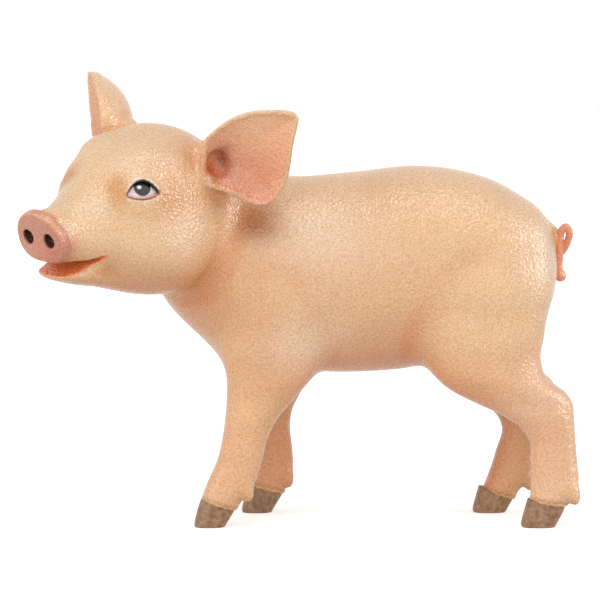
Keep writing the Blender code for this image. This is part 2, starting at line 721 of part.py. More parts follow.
def boolean(solid, tool, operation):
    """The solid joined with, cut by or kept within the tool, which is used up."""
    tool.hide_render = True
    tool.display_type = "WIRE"
    solid = shaped(solid, solid.name, "BOOLEAN", object=tool, operation=operation, solver="EXACT")
    bpy.data.objects.remove(tool)
    return solid


def islands(mesh):
    """The mesh's loose pieces, each as a list of its faces."""
    left = set(mesh.faces)
    found = []
    while left:
        reached = [left.pop()]
        for face in reached:
            for edge in face.edges:
                for other in edge.link_faces:
                    if other in left:
                        left.remove(other)
                        reached.append(other)
        found.append(reached)
    return found


def distance_to(faces, place):
    """How near the corners of some faces come to a place."""
    return min((v.co - place).length for face in faces for v in face.verts)


def part_off(whole, tool, name, marker):
    """Cut with the blade, and give the loose piece nearest the marker its own name."""
    whole = boolean(whole, tool, "DIFFERENCE")
    place = (Vector(marker) - Vector((MIDDLE[0], MIDDLE[1], 0.0))) * MM
    both = bmesh.new()
    both.from_mesh(whole.data)
    pieces = islands(both)
    nearest = min(pieces, key=lambda faces: distance_to(faces, place))
    marked = {face.index for face in nearest}
    meshes = []
    for wanted in (True, False):
        one = bmesh.new()
        one.from_mesh(whole.data)
        one.faces.ensure_lookup_table()
        gone = [face for face in one.faces if (face.index in marked) != wanted]
        bmesh.ops.delete(one, geom=gone, context="FACES")
        mesh = bpy.data.meshes.new(name if wanted else whole.name)
        one.to_mesh(mesh)
        one.free()
        meshes.append(mesh)
    both.free()
    rest = whole.name
    bpy.data.objects.remove(whole)
    add_solid(name, meshes[0])
    return add_solid(rest, meshes[1])


# ---------------------------------------------------------------- the cuts


def flat_blade(place, turn, lean, half):
    """A square upright blade that faces the head, turned to the left and leant back."""
    turn, lean = math.radians(turn), math.radians(lean)
    side = np.array([math.sin(turn), -math.cos(turn), 0.0])
    ahead = np.array([-math.cos(turn), -math.sin(turn), 0.0])
    rise = math.cos(lean) * np.array([0.0, 0.0, 1.0]) - math.sin(lean) * ahead
    middle = np.asarray(place)
    return blade([[middle + a * half * side + b * half * rise for a in (-1, 1)] for b in (-1, 1)])


def ear_blade(side):
    """A blade across the root of one ear."""
    along, across, out = ear_frame()
    rows = []
    for a in (-14.0, 20.0):
        row = []
        for b in (-16.0, 14.0):
            h = np.asarray(EAR_ROOT) + EAR_PARTED * along + a * across + b * out
            row.append(from_head(h * np.array([1.0, side, 1.0])))
        rows.append(row)
    return blade(rows)


def jaw_blade():
    """The bent blade between the mouth and the throat."""
    sides = (-HEAD_BLADE, HEAD_BLADE)
    return blade([[from_head((s, t, w)) for t in sides] for s, w in JAW_PARTED])


def snout_blade():
    """A blade across the muzzle, behind the snout's disc."""
    ends = (-HEAD_BLADE, HEAD_BLADE)
    return blade([[from_head((SNOUT_PARTED, t, w)) for t in ends] for w in ends])


def dome_blade(middle, radii, skirt, side):
    """A dome-shaped blade over the top of one leg."""
    rows = []
    levels = [(1.0, skirt)]
    for ring in range(DOME_RINGS):
        angle = math.pi / 2 * ring / DOME_RINGS
        levels.append((math.cos(angle), middle[2] + radii[2] * math.sin(angle)))
    for scale, z in levels:
        row = []
        for turn in range(DOME_AROUND):
            angle = 2 * math.pi * turn / DOME_AROUND
            x = middle[0] + radii[0] * scale * math.cos(angle)
            y = middle[1] * side + radii[1] * scale * math.sin(angle)
            row.append((x, y, z))
        rows.append(row)
    return blade(rows, round_about=True)


def block(corners):
    """A six-sided solid from four low corners and the four above them, both in a ring."""
    faces = ((3, 2, 1, 0), (4, 5, 6, 7), (0, 1, 5, 4), (1, 2, 6, 5), (2, 3, 7, 6), (3, 0, 4, 7))
    return add_solid("block", raw_mesh("block", corners, faces))


def under(stations, side, shift, hairline, sink):
    """A block under a foot's hairline, its top sunk a little."""
    middle = stations[2][3] * side
    toe, heel = stations[1][1] + shift, stations[2][2] + shift
    slope = (hairline[1] - hairline[0]) / (heel - toe)
    ring = [(-UNDER_AHEAD, -UNDER_HALF), (UNDER_BEHIND, -UNDER_HALF)]
    ring += [(UNDER_BEHIND, UNDER_HALF), (-UNDER_AHEAD, UNDER_HALF)]
    low = [(toe + x, middle + y, -UNDER_DEEP) for x, y in ring]
    high = [(toe + x, middle + y, hairline[0] + slope * x - sink) for x, y in ring]
    return block(low + high)


def floor_block():
    """A block under the floor, wider than the figure."""
    return block([(x, y, z) for z in (-FLOOR_DEEP, 0.0) for x, y in FLOOR_RING])


# ---------------------------------------------------------------- the figure


def build_hooves():
    """The four hooves, each cut flat on the floor and along its hairline."""
    for foot, (_, _, stations, side, shift, hairline) in FEET.items():
        toe, heel = stations[1][1] + shift, stations[1][2] + shift
        middle = stations[1][3] * side
        low = np.array([toe, middle, 0.0]) + HOOF_BOX[0]
        high = np.array([heel, middle, 0.0]) + HOOF_BOX[1]

        def field(p):
            return hoof(p, stations, side, shift)

        solid = field_solid("hoof_" + foot, field, low, high, HOOF_GRID, HOOF_TRIANGLES)
        solid = boolean(solid, under(stations, side, shift, hairline, CUT_GAP / 2), "INTERSECT")
        boolean(solid, floor_block(), "DIFFERENCE")


def lens(name, side, grown):
    """A lens of an eye, its radii grown a little."""
    points, faces = [], []
    for ring in range(1, EYE_RINGS):
        polar = math.pi * ring / EYE_RINGS
        for turn in range(EYE_AROUND):
            angle = 2 * math.pi * turn / EYE_AROUND
            points.append((math.sin(polar) * math.cos(angle), math.sin(polar) * math.sin(angle),
                           math.cos(polar)))
    points += [(0.0, 0.0, 1.0), (0.0, 0.0, -1.0)]
    top, bottom = len(points) - 2, len(points) - 1
    last = (EYE_RINGS - 2) * EYE_AROUND
    for turn in range(EYE_AROUND):
        k = (turn + 1) % EYE_AROUND
        faces.append((turn, k, top))
        faces.append((last + k, last + turn, bottom))
        for start in range(0, last, EYE_AROUND):
            below = start + EYE_AROUND
            faces.append((start + k, start + turn, below + turn, below + k))
    return add_solid(name, eye_mesh(name, np.array(points) * (np.asarray(EYE_RADII) + grown), faces, side))


def eye_mesh(name, local, faces, side):
    """A mesh from points in an eye's own axes, its faces turned outwards."""
    h = np.asarray(local) @ eye_axes() + np.asarray(EYE_PLACE)
    mesh = raw_mesh(name, from_head(h * np.array([1.0, side, 1.0])), faces)
    turned = bmesh.new()
    turned.from_mesh(mesh)
    bmesh.ops.recalc_face_normals(turned, faces=turned.faces)
    turned.to_mesh(mesh)
    turned.free()
    return mesh


def lid_opening(side):
    """The almond between the lids of one eye, drawn outwards from inside its lens."""
    steps = np.linspace(-EYE_OPENING_HALF, EYE_OPENING_HALF, 11)
    upper = [(x, lid_height(x, True)) for x in steps]
    lower = [(x, -lid_height(x, False)) for x in steps[-2:0:-1]]
    ring = upper + lower
    count = len(ring)
    local = [(x, y, z) for z in (1.0, 9.0) for x, y in ring]
    faces = [list(range(count)), list(range(2 * count - 1, count - 1, -1))]
    faces += [(i, (i + 1) % count, count + (i + 1) % count, count + i) for i in range(count)]
    return add_solid("opening", eye_mesh("opening", local, faces, side))


def build_eyes():
    """The two eyes, as smooth lenses."""
    for name, side in (("eye_left", 1.0), ("eye_right", -1.0)):
        lens(name, side, 0.0)


def build_tail():
    """The tail, in a loop and a tip."""
    solid = field_solid("tail_loop", tail, *TAIL_BOX, TAIL_GRID, TAIL_TRIANGLES)
    tool = blade([[(x, y, TAIL_PARTED) for y in (-20.0, 20.0)] for x in (50.0, 90.0)])
    part_off(solid, tool, "tail_tip", TAIL[-1][:3])


def build_body():
    """The flesh, meshed whole and then parted from the head backwards."""
    flesh = field_solid("trunk", body, *FLESH_BOX, BODY_GRID, BODY_TRIANGLES)
    for _, _, stations, side, shift, hairline in FEET.values():
        flesh = boolean(flesh, under(stations, side, shift, hairline, -CUT_GAP / 2), "DIFFERENCE")
    flesh = boolean(flesh, floor_block(), "DIFFERENCE")
    for side in (1.0, -1.0):
        flesh = boolean(flesh, lens("socket", side, CUT_GAP), "DIFFERENCE")
        flesh = boolean(flesh, lid_opening(side), "DIFFERENCE")
    for name, side in (("ear_left", 1.0), ("ear_right", -1.0)):
        tip = np.asarray(EAR_ROOT) + 25.0 * ear_frame()[0]
        flesh = part_off(flesh, ear_blade(side), name, from_head(tip * np.array([1.0, side, 1.0])))
    flesh = part_off(flesh, jaw_blade(), "lower_jaw", from_head((47.0, 0.0, -4.0)))
    flesh = part_off(flesh, snout_blade(), "snout", from_head((52.0, 0.0, 8.0)))
    tool = flat_blade(HEAD_PARTED, HEAD_TURN, HEAD_LEAN, NECK_BLADE)
    flesh = part_off(flesh, tool, "head", from_head((25.0, 0.0, 34.0)))
    tool = flat_blade(NECK_PARTED, NECK_TURN, NECK_LEAN, NECK_BLADE)
    flesh = part_off(flesh, tool, "neck", (-24.0, 4.0, 90.0))
    for foot, (stations, _, _, side, shift, _) in FEET.items():
        fore = foot.startswith("front")
        middle = FORE_DOME if fore else HIND_DOME
        radii = FORE_DOME_RADII if fore else HIND_DOME_RADII
        tool = dome_blade(middle, radii, FORE_SKIRT if fore else HIND_SKIRT, side)
        ankle = (stations[0][1] + shift, stations[0][3] * side, stations[0][0])
        flesh = part_off(flesh, tool, "leg_" + foot, ankle)


LOOKS = (
    ("snout", (0.66, 0.35, 0.28), 0.42),
    ("ear", (0.70, 0.42, 0.31), 0.45),
    ("eye", (0.03, 0.035, 0.04), 0.12),
    ("hoof", (0.26, 0.19, 0.13), 0.5),
    ("tail", (0.66, 0.33, 0.25), 0.45),
    ("", (0.75, 0.54, 0.36), 0.45),
)


def paint(thing):
    """Give the object its own paint, by the kind of part that its name says."""
    colour, roughness = next(look[1:] for look in LOOKS if thing.name.startswith(look[0]))
    material = bpy.data.materials.new("paint_" + thing.name)
    material.use_nodes = True
    shader = material.node_tree.nodes["Principled BSDF"]
    shader.inputs["Base Color"].default_value = (*colour, 1.0)
    shader.inputs["Roughness"].default_value = roughness
    shader.inputs["Metallic"].default_value = 0.0
    thing.data.materials.clear()
    thing.data.materials.append(material)
    thing.data.shade_smooth()


def main():
    """Build the whole figure."""
    for thing in list(bpy.data.objects):
        bpy.data.objects.remove(thing)
    build_body()
    build_hooves()
    build_eyes()
    build_tail()
    for thing in bpy.data.objects:
        paint(thing)


if __name__ == "__main__":
    main()
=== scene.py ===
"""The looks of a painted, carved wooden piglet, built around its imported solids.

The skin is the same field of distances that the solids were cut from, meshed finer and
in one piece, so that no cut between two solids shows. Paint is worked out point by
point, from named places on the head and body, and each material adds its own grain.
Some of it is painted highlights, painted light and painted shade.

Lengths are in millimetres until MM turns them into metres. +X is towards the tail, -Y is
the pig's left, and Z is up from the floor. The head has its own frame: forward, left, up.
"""

import math

import bmesh
import bpy
import numpy as np
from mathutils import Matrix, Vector


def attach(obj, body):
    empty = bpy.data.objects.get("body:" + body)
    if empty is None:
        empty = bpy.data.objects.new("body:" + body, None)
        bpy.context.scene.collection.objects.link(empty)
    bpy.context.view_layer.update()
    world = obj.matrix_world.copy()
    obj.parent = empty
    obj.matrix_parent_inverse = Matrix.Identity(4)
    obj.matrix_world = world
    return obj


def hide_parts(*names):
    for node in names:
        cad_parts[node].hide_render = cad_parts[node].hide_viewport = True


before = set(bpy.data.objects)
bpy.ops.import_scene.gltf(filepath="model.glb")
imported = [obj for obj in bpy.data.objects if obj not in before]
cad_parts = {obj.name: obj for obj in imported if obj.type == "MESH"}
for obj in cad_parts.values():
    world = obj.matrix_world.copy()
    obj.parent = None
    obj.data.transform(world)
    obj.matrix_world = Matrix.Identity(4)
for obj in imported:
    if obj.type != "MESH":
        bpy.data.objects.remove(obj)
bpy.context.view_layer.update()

MM = 0.001

# ---- driving dimensions

# The figure's middle on the floor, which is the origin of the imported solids.
MIDDLE = (0.825, -15.130)
CUT_GAP = 0.3

# A loft's stations: its place along, its low and high edge, its middle, its half width.
TRUNK = (
    (-30, 58, 85, 0, 14),
    (-20, 47, 89, 0, 20),
    (-10, 41.5, 90.5, 0, 22.5),
    (2, 39.6, 90.9, 0, 23),
    (16, 39.3, 92.2, 0, 23.3),
    (30, 40.6, 93.6, 0, 23),
    (42, 44, 92.4, 0, 22.4),
    (53, 48.5, 88.8, 0, 21),
    (60, 53.6, 84.6, 0, 18),
)
TRUNK_CAPS = (8, 7.4)
TRUNK_SQUARE = 2.25
CAP_SQUARE = 2.5

NECK_PLACE, NECK_RADII = (-20, -2.5, 69.5), (17.5, 17.5, 18.5)
CHEST_PLACE, CHEST_RADII = (-10.5, 0, 56), (12, 15, 15)
CHEST_FILLET, LEG_FILLET, NECK_FILLET, HEAD_FILLET = 8, 7, 12, 5

# The legs, station by station up from the sole: front edge, rear edge, middle, half.
# Each foot stands where it was set down, so all four legs differ a little.
FORELEG = (
    (4, -26.4, -16.7, 15, 5),
    (6.5, -26, -15.2, 15, 5.3),
    (9, -25.2, -13.1, 15, 5.4),
    (12, -24, -11.5, 15, 5.3),
    (17.5, -21.6, -9.8, 14.8, 5.1),
    (23, -20.3, -8.5, 14.6, 5.3),
    (28, -19.6, -6, 14.4, 5.9),
    (33, -19.2, -1.8, 13.8, 6.8),
    (38.5, -19.2, 2.6, 13.6, 7.9),
    (46, -20.6, 3.4, 12.8, 9.6),
    (54, -20, 1.5, 12, 10.2),
)
HINDLEG = (
    (4, 59.8, 69.4, 15.2, 5),
    (6.5, 60, 70.4, 15.2, 5.3),
    (9, 60.2, 72.2, 15.2, 5.4),
    (12, 60.3, 72.8, 15.2, 5.2),
    (17, 60.2, 72.4, 15.1, 5),
    (23, 59.6, 71.9, 15, 5.2),
    (26.6, 56.6, 71.7, 14.9, 5.7),
    (29.2, 52.6, 71.5, 14.8, 6.2),
    (32, 46.4, 71.2, 14.3, 7),
    (35.2, 40, 69.2, 14.1, 8),
    (38.5, 35.8, 64.8, 13.9, 9),
    (43, 33.4, 63, 13.2, 10),
    (50, 33, 63.8, 12.8, 10.8),
    (58, 35.5, 64.8, 12.2, 10.9),
)
LEG_CAPS = (4, 11)
LEG_SQUARE = 2.3
SHIFT_LEVEL, SHIFT_TOP = 5, 40

DEWCLAW_RADII, DEWCLAW_APART, DEWCLAW_FILLET = (3.2, 1.8, 1.8), 2.5, 1.5
DEWCLAW_DOWN, DEWCLAW_BACK = (0.25, 0.1, -1), (1, 0, 0.25)
FORE_DEWCLAW, HIND_DEWCLAW = (-14, 15, 9.9), (71.2, 15.2, 9)

FORE_HOOF = (
    (-2, -27.2, -20.8, 15, 4.6),
    (0, -27.6, -19.6, 15, 4.8),
    (4, -26.9, -17.2, 15, 4.8),
    (10, -24.8, -13.8, 15, 4.5),
)
HIND_HOOF = (
    (-2, 58.2, 65.6, 15.2, 4.6),
    (0, 57.8, 66.6, 15.2, 4.8),
    (4, 58.6, 68.8, 15.2, 4.8),
    (10, 60.4, 70.2, 15.2, 4.5),
)
HOOF_SQUARE = 2.8
HOOF_CAPS = (2, 2)
CLEFT_HALF, CLEFT_DEPTH, CLEFT_EASE = 0.45, 3.6, 0.5

# Each foot: its leg, dewclaws and hoof, its side, how far its foot is shifted along X,
# and the hairline that the hoof comes out of, as a height at the toe and at the heel.
FEET = {
    "front_left": (FORELEG, FORE_DEWCLAW, FORE_HOOF, -1, 0, (7.8, 4.5)),
    "front_right": (FORELEG, FORE_DEWCLAW, FORE_HOOF, 1, 12, (8.1, 5.4)),
    "hind_left": (HINDLEG, HIND_DEWCLAW, HIND_HOOF, -1, 0, (7.3, 5.6)),
    "hind_right": (HINDLEG, HIND_DEWCLAW, HIND_HOOF, 1, -11.4, (7.2, 3.6)),
}

# The head: where its frame is, and how it is turned to the left, raised and tipped.
HEAD_PLACE = (-33, -8, 68.5)
HEAD_YAW, HEAD_PITCH, HEAD_ROLL = 50, 2, 7.5

SKULL = (
    (-8, 0, 29.5, 0, 15.5),
    (0, -3.5, 33.8, 0, 18),
    (10, -4.2, 36.6, 0, 19.2),
    (19, -4.4, 36, 0, 19),
    (26, -4.2, 32.8, 0, 17),
    (32, -3, 28.2, 0, 14.2),
    (37, -1, 22.8, 0, 11.5),
    (42, 0.4, 18.4, 0, 9.2),
    (47, 1, 15.4, 0, 7.6),
    (50, 1.2, 14.6, 0, 7.4),
)
SKULL_CAPS = (8, 2)
SKULL_SQUARE, SKULL_TAPER = 2.2, 0.15

JAW = (
    (6, -4.5, 4, 0, 13),
    (16, -4.8, 4, 0, 12),
    (26, -5.3, 3.5, 0, 10.3),
    (36, -5, 2.6, 0, 8.2),
    (41, -4.5, 1.6, 0, 6.9),
    (45, -3.8, 0.4, 0, 5.6),
)
JAW_CAPS = (8, 2.6)

CHEEK_PLACE, CHEEK_RADII = (17, 8, 4.5), (14, 10.5, 9)
BROW_PLACE, BROW_RADII = (23.5, 8, 27.5), (6.5, 4.5, 4)
JAW_FILLET, CHEEK_FILLET, BROW_FILLET, LID_FILLET, DISC_FILLET = 3, 8, 5, 2.5, 1.2

# The mouth: its upper and lower lips in side view, from the corner, and its depth.
MOUTH = (
    (38.4, 2.7, 4.1),
    (39.8, 1.5, 3.3),
    (41, 0.5, 2.7),
    (44, -1, 2.1),
    (48, -2.3, 1.4),
    (54, -3.2, 1),
)
MOUTH_DEPTH, MOUTH_EASE = 4, 0.5

# The snout's disc, tilted so that its top stands furthest forward.
DISC_PLACE, DISC_TILT = (51.2, 0, 7.8), 30
DISC_HALF_WIDTH, DISC_HALF_HEIGHT, DISC_HALF_THICK = 7.9, 7.4, 1.5
DISC_ROUND, DISC_TAPER = 1, 0.012
NOSTRIL_PLACE, NOSTRIL_RADII, NOSTRIL_EASE = (3.6, 0.05), (1.55, 1.85, 3), 0.6

# An eye is a lens, set in the flesh behind an opening between two lids.
EYE_PLACE, EYE_RADII = (28.8, 10.9, 19.8), (6.2, 4.8, 3)
EYE_OUTWARD, EYE_SLANT = (0.54, 0.80, 0.27), 9
EYE_OPENING_HALF, EYE_OPENING_UP, EYE_OPENING_DOWN = 4.3, 3.2, 1.1
LID_RADII = (7.4, 6.2, 3.8)

# An ear is a cup on its own axis, with a leaf's outline for its rim: each point of the
# outline is a place along the ear and one across it, towards its lobe.
EAR_ROOT = (12.5, 16.5, 29.5)
EAR_ALONG = (-0.435, 0.702, 0.563)
EAR_OPENS = (0.80, 0.585, -0.11)
EAR_OUTLINE = (
    (-0.9, 1.7), (1, -2.3), (3.2, -4.9), (7.4, -6.1), (11.7, -6.6), (16.6, -6),
    (21.5, -4.1), (26.3, -1.2), (27.2, 1), (26.2, 2.6), (22.6, 6.8), (17.8, 13.2),
    (14.5, 15.8), (10.3, 17.5), (6.3, 15.8), (2.2, 10.8), (-1.2, 6.5), (-1.6, 4.2),
)
EAR_HALF_THICK, EAR_ROOT_THICK, EAR_ROOT_REACH = 0.75, 1.2, 16
EAR_HOLLOW, EAR_HOLLOW_ROOT, EAR_BACK, EAR_WALL = 2.6, 3.2, 9, 9
EAR_RIM_FRONT, EAR_RIM_SLOPE = 0.8, 0.09
EAR_PAD, EAR_PAD_RADII = (2, 2.5, -6), (6, 6.5, 3.6)
EAR_CANAL, EAR_CANAL_RADII = (2.4, 2.2, -2.3), (2.3, 2.8, 1.7)
EAR_FILLET, EAR_EASE, EAR_PAD_FILLET, EAR_CANAL_FILLET, EAR_OPEN = 3.5, 1, 3, 4, 6

# The tail: its middle line from root to tip, with the radius at each point.
TAIL = (
    (63.5, 0.4, 76.3, 2.2),
    (66.4, 0.5, 75.7, 1.8),
    (67.6, 0.5, 73.8, 1.2),
    (68.5, 0.4, 71, 1.1),
    (69.5, 0.2, 71.5, 1),
    (70.7, -0.1, 74, 0.95),
    (71, -0.5, 76, 1),
    (70.1, -0.8, 77.4, 1.05),
    (69, -0.8, 76.6, 1),
    (68.6, -0.8, 74.6, 0.95),
    (68.4, -0.8, 72.2, 1.1),
    (68.3, -0.8, 69.8, 1.15),
    (68.25, -0.9, 67.6, 1),
    (68.4, -0.9, 65.9, 1.1),
    (68.65, -0.9, 64.6, 1.6),
)

SKIN_GRID, SKIN_TRIANGLES = ((0.6, 172000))
SKIN_BOX = ((-80, -62, -2), (76, 34, 124))
TAIL_GRID, TAIL_BOX = 0.22, ((60, -6, 58), (78, 6, 84))
TAIL_ROOT_POINTS, TAIL_FILLET = 3, 3
HOOF_GRID, HOOF_BEFORE, HOOF_BEHIND, HOOF_BESIDE = 0.3, 3, 6, 8
HOOF_BOTTOM, HOOF_TOP, HAIRLINE_GAP = -2, 12, 0.2
FRINGE_DEPTH, FRINGE_COUNT, FOOT_REACH = 0.3, 8, 14

# The finer mesh around the eyes and the snout: how far out, and how often it is split.
EYE_SPREAD, EYE_FORWARD, EYE_ROUNDS = 6.6, 2.5, 3
DISC_SPREAD, DISC_ROUNDS = 12, 2
# The opening of an eye, which goes a little way behind the lens.
SOCKET_DEPTH, SOCKET_EASE, ALMOND_SLOPE = 0.35, 0.25, 0.8

# An eye's own mesh: the points of a ring, the rings, how much they crowd towards the
# front, and the angle from the front to the last.
EYE_AROUND, EYE_RINGS, EYE_CROWDING, EYE_SPAN = 96, 40, 1.1, math.pi * 0.62

# What is painted on an eye, in its own axes.
IRIS_PLACE, IRIS_RADIUS, GREY_RADIUS = (0.2, 1.75), 2.25, 1.35
GLINT_PLACE, GLINT_RADII = (-0.6, 1.85), (0.55, 0.45)

# The liner on the upper lid, thicker towards the back, and where the lids' paint starts.
LINER_MIDDLE, LINER_PAST, LINER_THICK, LINER_GROWS = 0.15, 0.45, 0.42, 0.03
LIDS_FRONT = 0.5

# Painted lines: the middle of each, half its width, and how soft its edges are.
TUFT_LINE, TUFT_HEIGHT, TUFT_SOFT = (0.95, 0.25, 0.5), 0.5, 0.4
RING_LINE, LIP_LINE = (0.97, 0.015, 0.04), (0.2, 0.55, 0.5)
LID_GLOW, LID_LINE, TEAR_LINE = (0.9, 0.5, 0.5), (0.36, 0.26, 0.3), (0.45, 0.1, 0.25)

# How far past or inside an edge each colour ends. The salmon's is a part of the disc.
EAR_PINK_PAST, EAR_PINK_IN, RIM_PAST, NOSTRIL_PAST, SALMON_REACH = 0.9, 1, 0.2, 0.2, 1.06
# Where the mouth's paint starts, and the width over which the body's meets the head's.
MOUTH_FROM, HEAD_BLEND = 33, 4

# The painted shade, a brown laid in hollows and on faces turned down: how far it feels
# for hollows, the range of bend over which it builds, and how much lies in hollows,
# underneath and at most. The face is kept free of it.
SHADE_REACH, SHADE_BEND, SHADE_POWER = 2.4, 0.12, 1.5
SHADE_HOLLOW, SHADE_UNDER, SHADE_MOST = 0.4, 0.6, 0.8
FACE_PLACE, FACE_REACH, FACE_UNSHADED = (30, 10, 20), (17, 13, 12), 1.6

# The stage: a floor, an even sky, and lights. A light has a place that it shines from,
# the degrees that it spreads over, and its strength.
FLOOR_CORNERS = ((-3.0, -3.0, 0.0), (3.0, -3.0, 0.0), (3.0, 3.0, 0.0), (-3.0, 3.0, 0.0))
FLOOR_PAINT = {
    "Base Color": (0.93, 0.93, 0.93),
    "Roughness": 0.8,
    "Emission Color": (1, 1, 1),
    "Emission Strength": 0.5,
}
WORLD_LIGHT, WORLD_SHEEN, WORLD_SEEN = 0.56, 1.2, 1.0
LIGHTS = (
    ("top_box", (0, -0.6, 1), 20, 0.36),
    ("left_box", (-1, -0.45, 0.35), 24, 0.5),
    ("right_box", (1, -0.1, 0.3), 30, 0.55),
    ("front_fill", (-0.1, -1, 0), 60, 1.3),
)
# Lights that show only as a gloss on the paint.
GLOSSES = (
    ("top_gloss", (0.15, -0.4, 1), 20, 1.3),
    ("left_gloss", (-1, -0.5, 0.6), 24, 0.6),
    ("right_gloss", (1, -0.1, 0.45), 18, 1.7),
)

# The camera: how many degrees above level, the height that it aims at, half the width
# that it sees and its sensor, and then in metres how far away it is and its near limit.
CAMERA_ABOVE, CAMERA_AIM, CAMERA_HALF_WIDTH, CAMERA_SENSOR = 4.5, 58.08, 79.2, 36
CAMERA_AWAY, CAMERA_NEAR = 1.1, 0.01


def srgb(code):
    """A colour of a paint pot in linear light, from its code for a screen."""
    c = np.array([code >> 16, code >> 8 & 255, code & 255]) / 255.0
    return np.where(c <= 0.04045, c / 12.92, ((c + 0.055) / 1.055) ** 2.4)


# The painter's pots. Some of them are laid as painted highlights, painted light and painted
# shade.
CREAM = srgb(0xF3CDA2)
# Pale paint, also laid as painted highlights.
PALE = srgb(0xF6DABE)
OCHRE = srgb(0xD89658)
FAR_SHADE_SIENNA = srgb(0xD06C14)
# Painted shade for the far legs.
PEACH = srgb(0xF0BA94)
ROSE = srgb(0xE69862)
SALMON = srgb(0xDA947C)
SALMON_DEEP = srgb(0xCC7C62)
BROWN = srgb(0x543226)
MOUTH_RED = srgb(0xFF945A)
LIP = srgb(0xF4AC7C)
# Painted shadow under the ear.
EAR_SHADOW_UMBER = srgb(0x9C5616)
# Painted shade, laid in hollows and underneath.
SHADE_BROWN = srgb(0xDC8646)
# Painted shade in the mouth.
MOUTH_SHADE = srgb(0x843820)
EAR_PINK = srgb(0xF8B692)
# Painted light and painted shade at the ear's canal.
EAR_GLOW = srgb(0xD66810)
EAR_CANAL_SHADE = srgb(0x88300A)
LINER = srgb(0x0E0908)
LID_RED = srgb(0xA44238)
LID_PINK = srgb(0xD8ACAC)
LID_PALE = srgb(0xFAE2D0)
SCLERA = srgb(0xECE0DE)
IRIS_DARK = srgb(0x14161A)
IRIS_GREY = srgb(0x303440)
WHITE = srgb(0xFFFFFF)
# Painted light on the upper half of the ear's inside.
EAR_PAINTED_LIGHT = srgb(0xFFD0A6)
EYE_CORNER_BROWN = srgb(0xD69640)
SPECK_TINT = srgb(0xF0DAC0)
TAIL_PINK = srgb(0xF4AA84)
# Painted shade in the tail's loop.
TAIL_SHADE_RED = srgb(0xE07C56)
TUFT_BROWN = srgb(0xA66430)
TUFT_PALE = srgb(0xF4CE96)
HOOF_BROWN = srgb(0x785232)
HOOF_PALE = srgb(0xAE8660)

# Soft touches of paint on the body: pot, place, reach along each axis, and strength.
# Some are painted highlights and painted shade, as marked.
BODY_TOUCHES = (
    # Painted highlight on the shoulder.
    (PALE, (8, -22, 75), (14, 14, 9), 0.6),
    (OCHRE, (54, -16, 80), (12, 14, 9), 0.2),
    (OCHRE, (26, -18, 83), (15, 14, 8), 0.25),
    (PEACH, (20, -24, 60), (30, 16, 16), 0.35),
    # Painted highlights on the shoulder, the hind leg and the rump's edge.
    (PALE, (2, -22, 46), (9, 10, 9), 0.95),
    (PALE, (2, -21, 78), (9, 12, 8), 0.7),
    (PALE, (62, -20, 34), (8, 8, 7), 0.85),
    (PALE, (64.6, -13.9, 72.2), (9, 10, 12), 0.8),
    (OCHRE, (22, -20, 66), (34, 18, 12), 0.1),
    # Rose paint along the belly, laid thick also as painted shade underneath.
    (ROSE, (22, 0, 38), (40, 30, 8), 0.95),
    (ROSE, (30, -18, 48), (7, 14, 9), 0.15),
    (ROSE, (-12, -18, 62), (9, 12, 16), 0.35),
    (ROSE, (-24, -8, 56), (14, 14, 8), 0.4),
    # Painted shadow of the ear on the neck.
    (EAR_SHADOW_UMBER, (-11.5, -24, 79.5), (7, 8, 4.8), 0.8),
    # Rose paint between the legs, also as painted shade.
    (ROSE, (-8, 0, 36), (24, 9, 30), 0.5),
    (ROSE, (56, 0, 38), (24, 9, 30), 0.5),
    (PEACH, (62, -20, 22), (14, 10, 20), 0.9),
    (ROSE, (-22, -20, 18), (14, 10, 18), 0.5),
    # Painted shade on the two far legs.
    (FAR_SHADE_SIENNA, (-8, 18, 14), (16, 10, 26), 0.9),
    (FAR_SHADE_SIENNA, (50, 18, 14), (16, 10, 26), 0.9),
)

# Soft touches on the head, in its own frame, the same on both sides. The pale ones are
# painted highlights.
HEAD_TOUCHES = (
    # Ochre and a darker brown laid before the front corner of the eye.
    (OCHRE, (35.6, 8.8, 20.6), (2.7, 3.2, 5), 1),
    (EYE_CORNER_BROWN, (35.6, 8.8, 20.6), (2.6, 3.2, 4.8), 1),
    # Painted highlight on the cheek.
    (PALE, (18, 20, 10), (8, 8, 7), 0.55),
    (OCHRE, (22.5, 15.5, 21), (6, 5.5, 5.5), 0.9),
    (OCHRE, (26, 12, 14), (8, 6, 3), 0.15),
    # Painted highlights on the nose and the brow.
    (PALE, (38, 6, 16), (6, 6, 5), 0.45),
    (PALE, (31, 8, 28), (7, 7, 5), 0.4),
    (PEACH, (10, 8, 33), (12, 12, 8), 0.5),
    (ROSE, (20, 6, -6), (26, 14, 5.5), 0.7),
    (ROSE, (8, 16, 2), (12, 8, 8), 0.35),
    (SALMON, (49, 7.8, 5), (3.4, 2.6, 4.6), 0.9),
    (OCHRE, (9, 20, 20), (5, 5, 6), 0.4),
)

# Touches inside an ear, along it, towards its lobe and outwards: painted light on its upper
# half, painted shade in the dark way in with painted orange light before it, and a small
# pale lobe.
EAR_TOUCHES = (
    (EAR_PAINTED_LIGHT, (17, -3, 0.5), (11, 5.5, 6), 0.9),
    (SALMON_DEEP, (9, 12, 0), (8, 7, 6), 0.6),
    (SALMON_DEEP, (4, 4.5, -2), (6, 5, 6), 0.45),
    (EAR_CANAL_SHADE, (3.8, 2.4, -2.5), (2, 2.6, 6), 0.8),
    (EAR_CANAL_SHADE, (5.4, 0.2, -2), (2.4, 1.5, 5), 0.55),
    (EAR_GLOW, (0.6, 3, -1), (1.8, 2.7, 6), 1),
    (PALE, (-0.2, 4.4, 0.8), (0.9, 0.9, 2.5), 0.8),
)


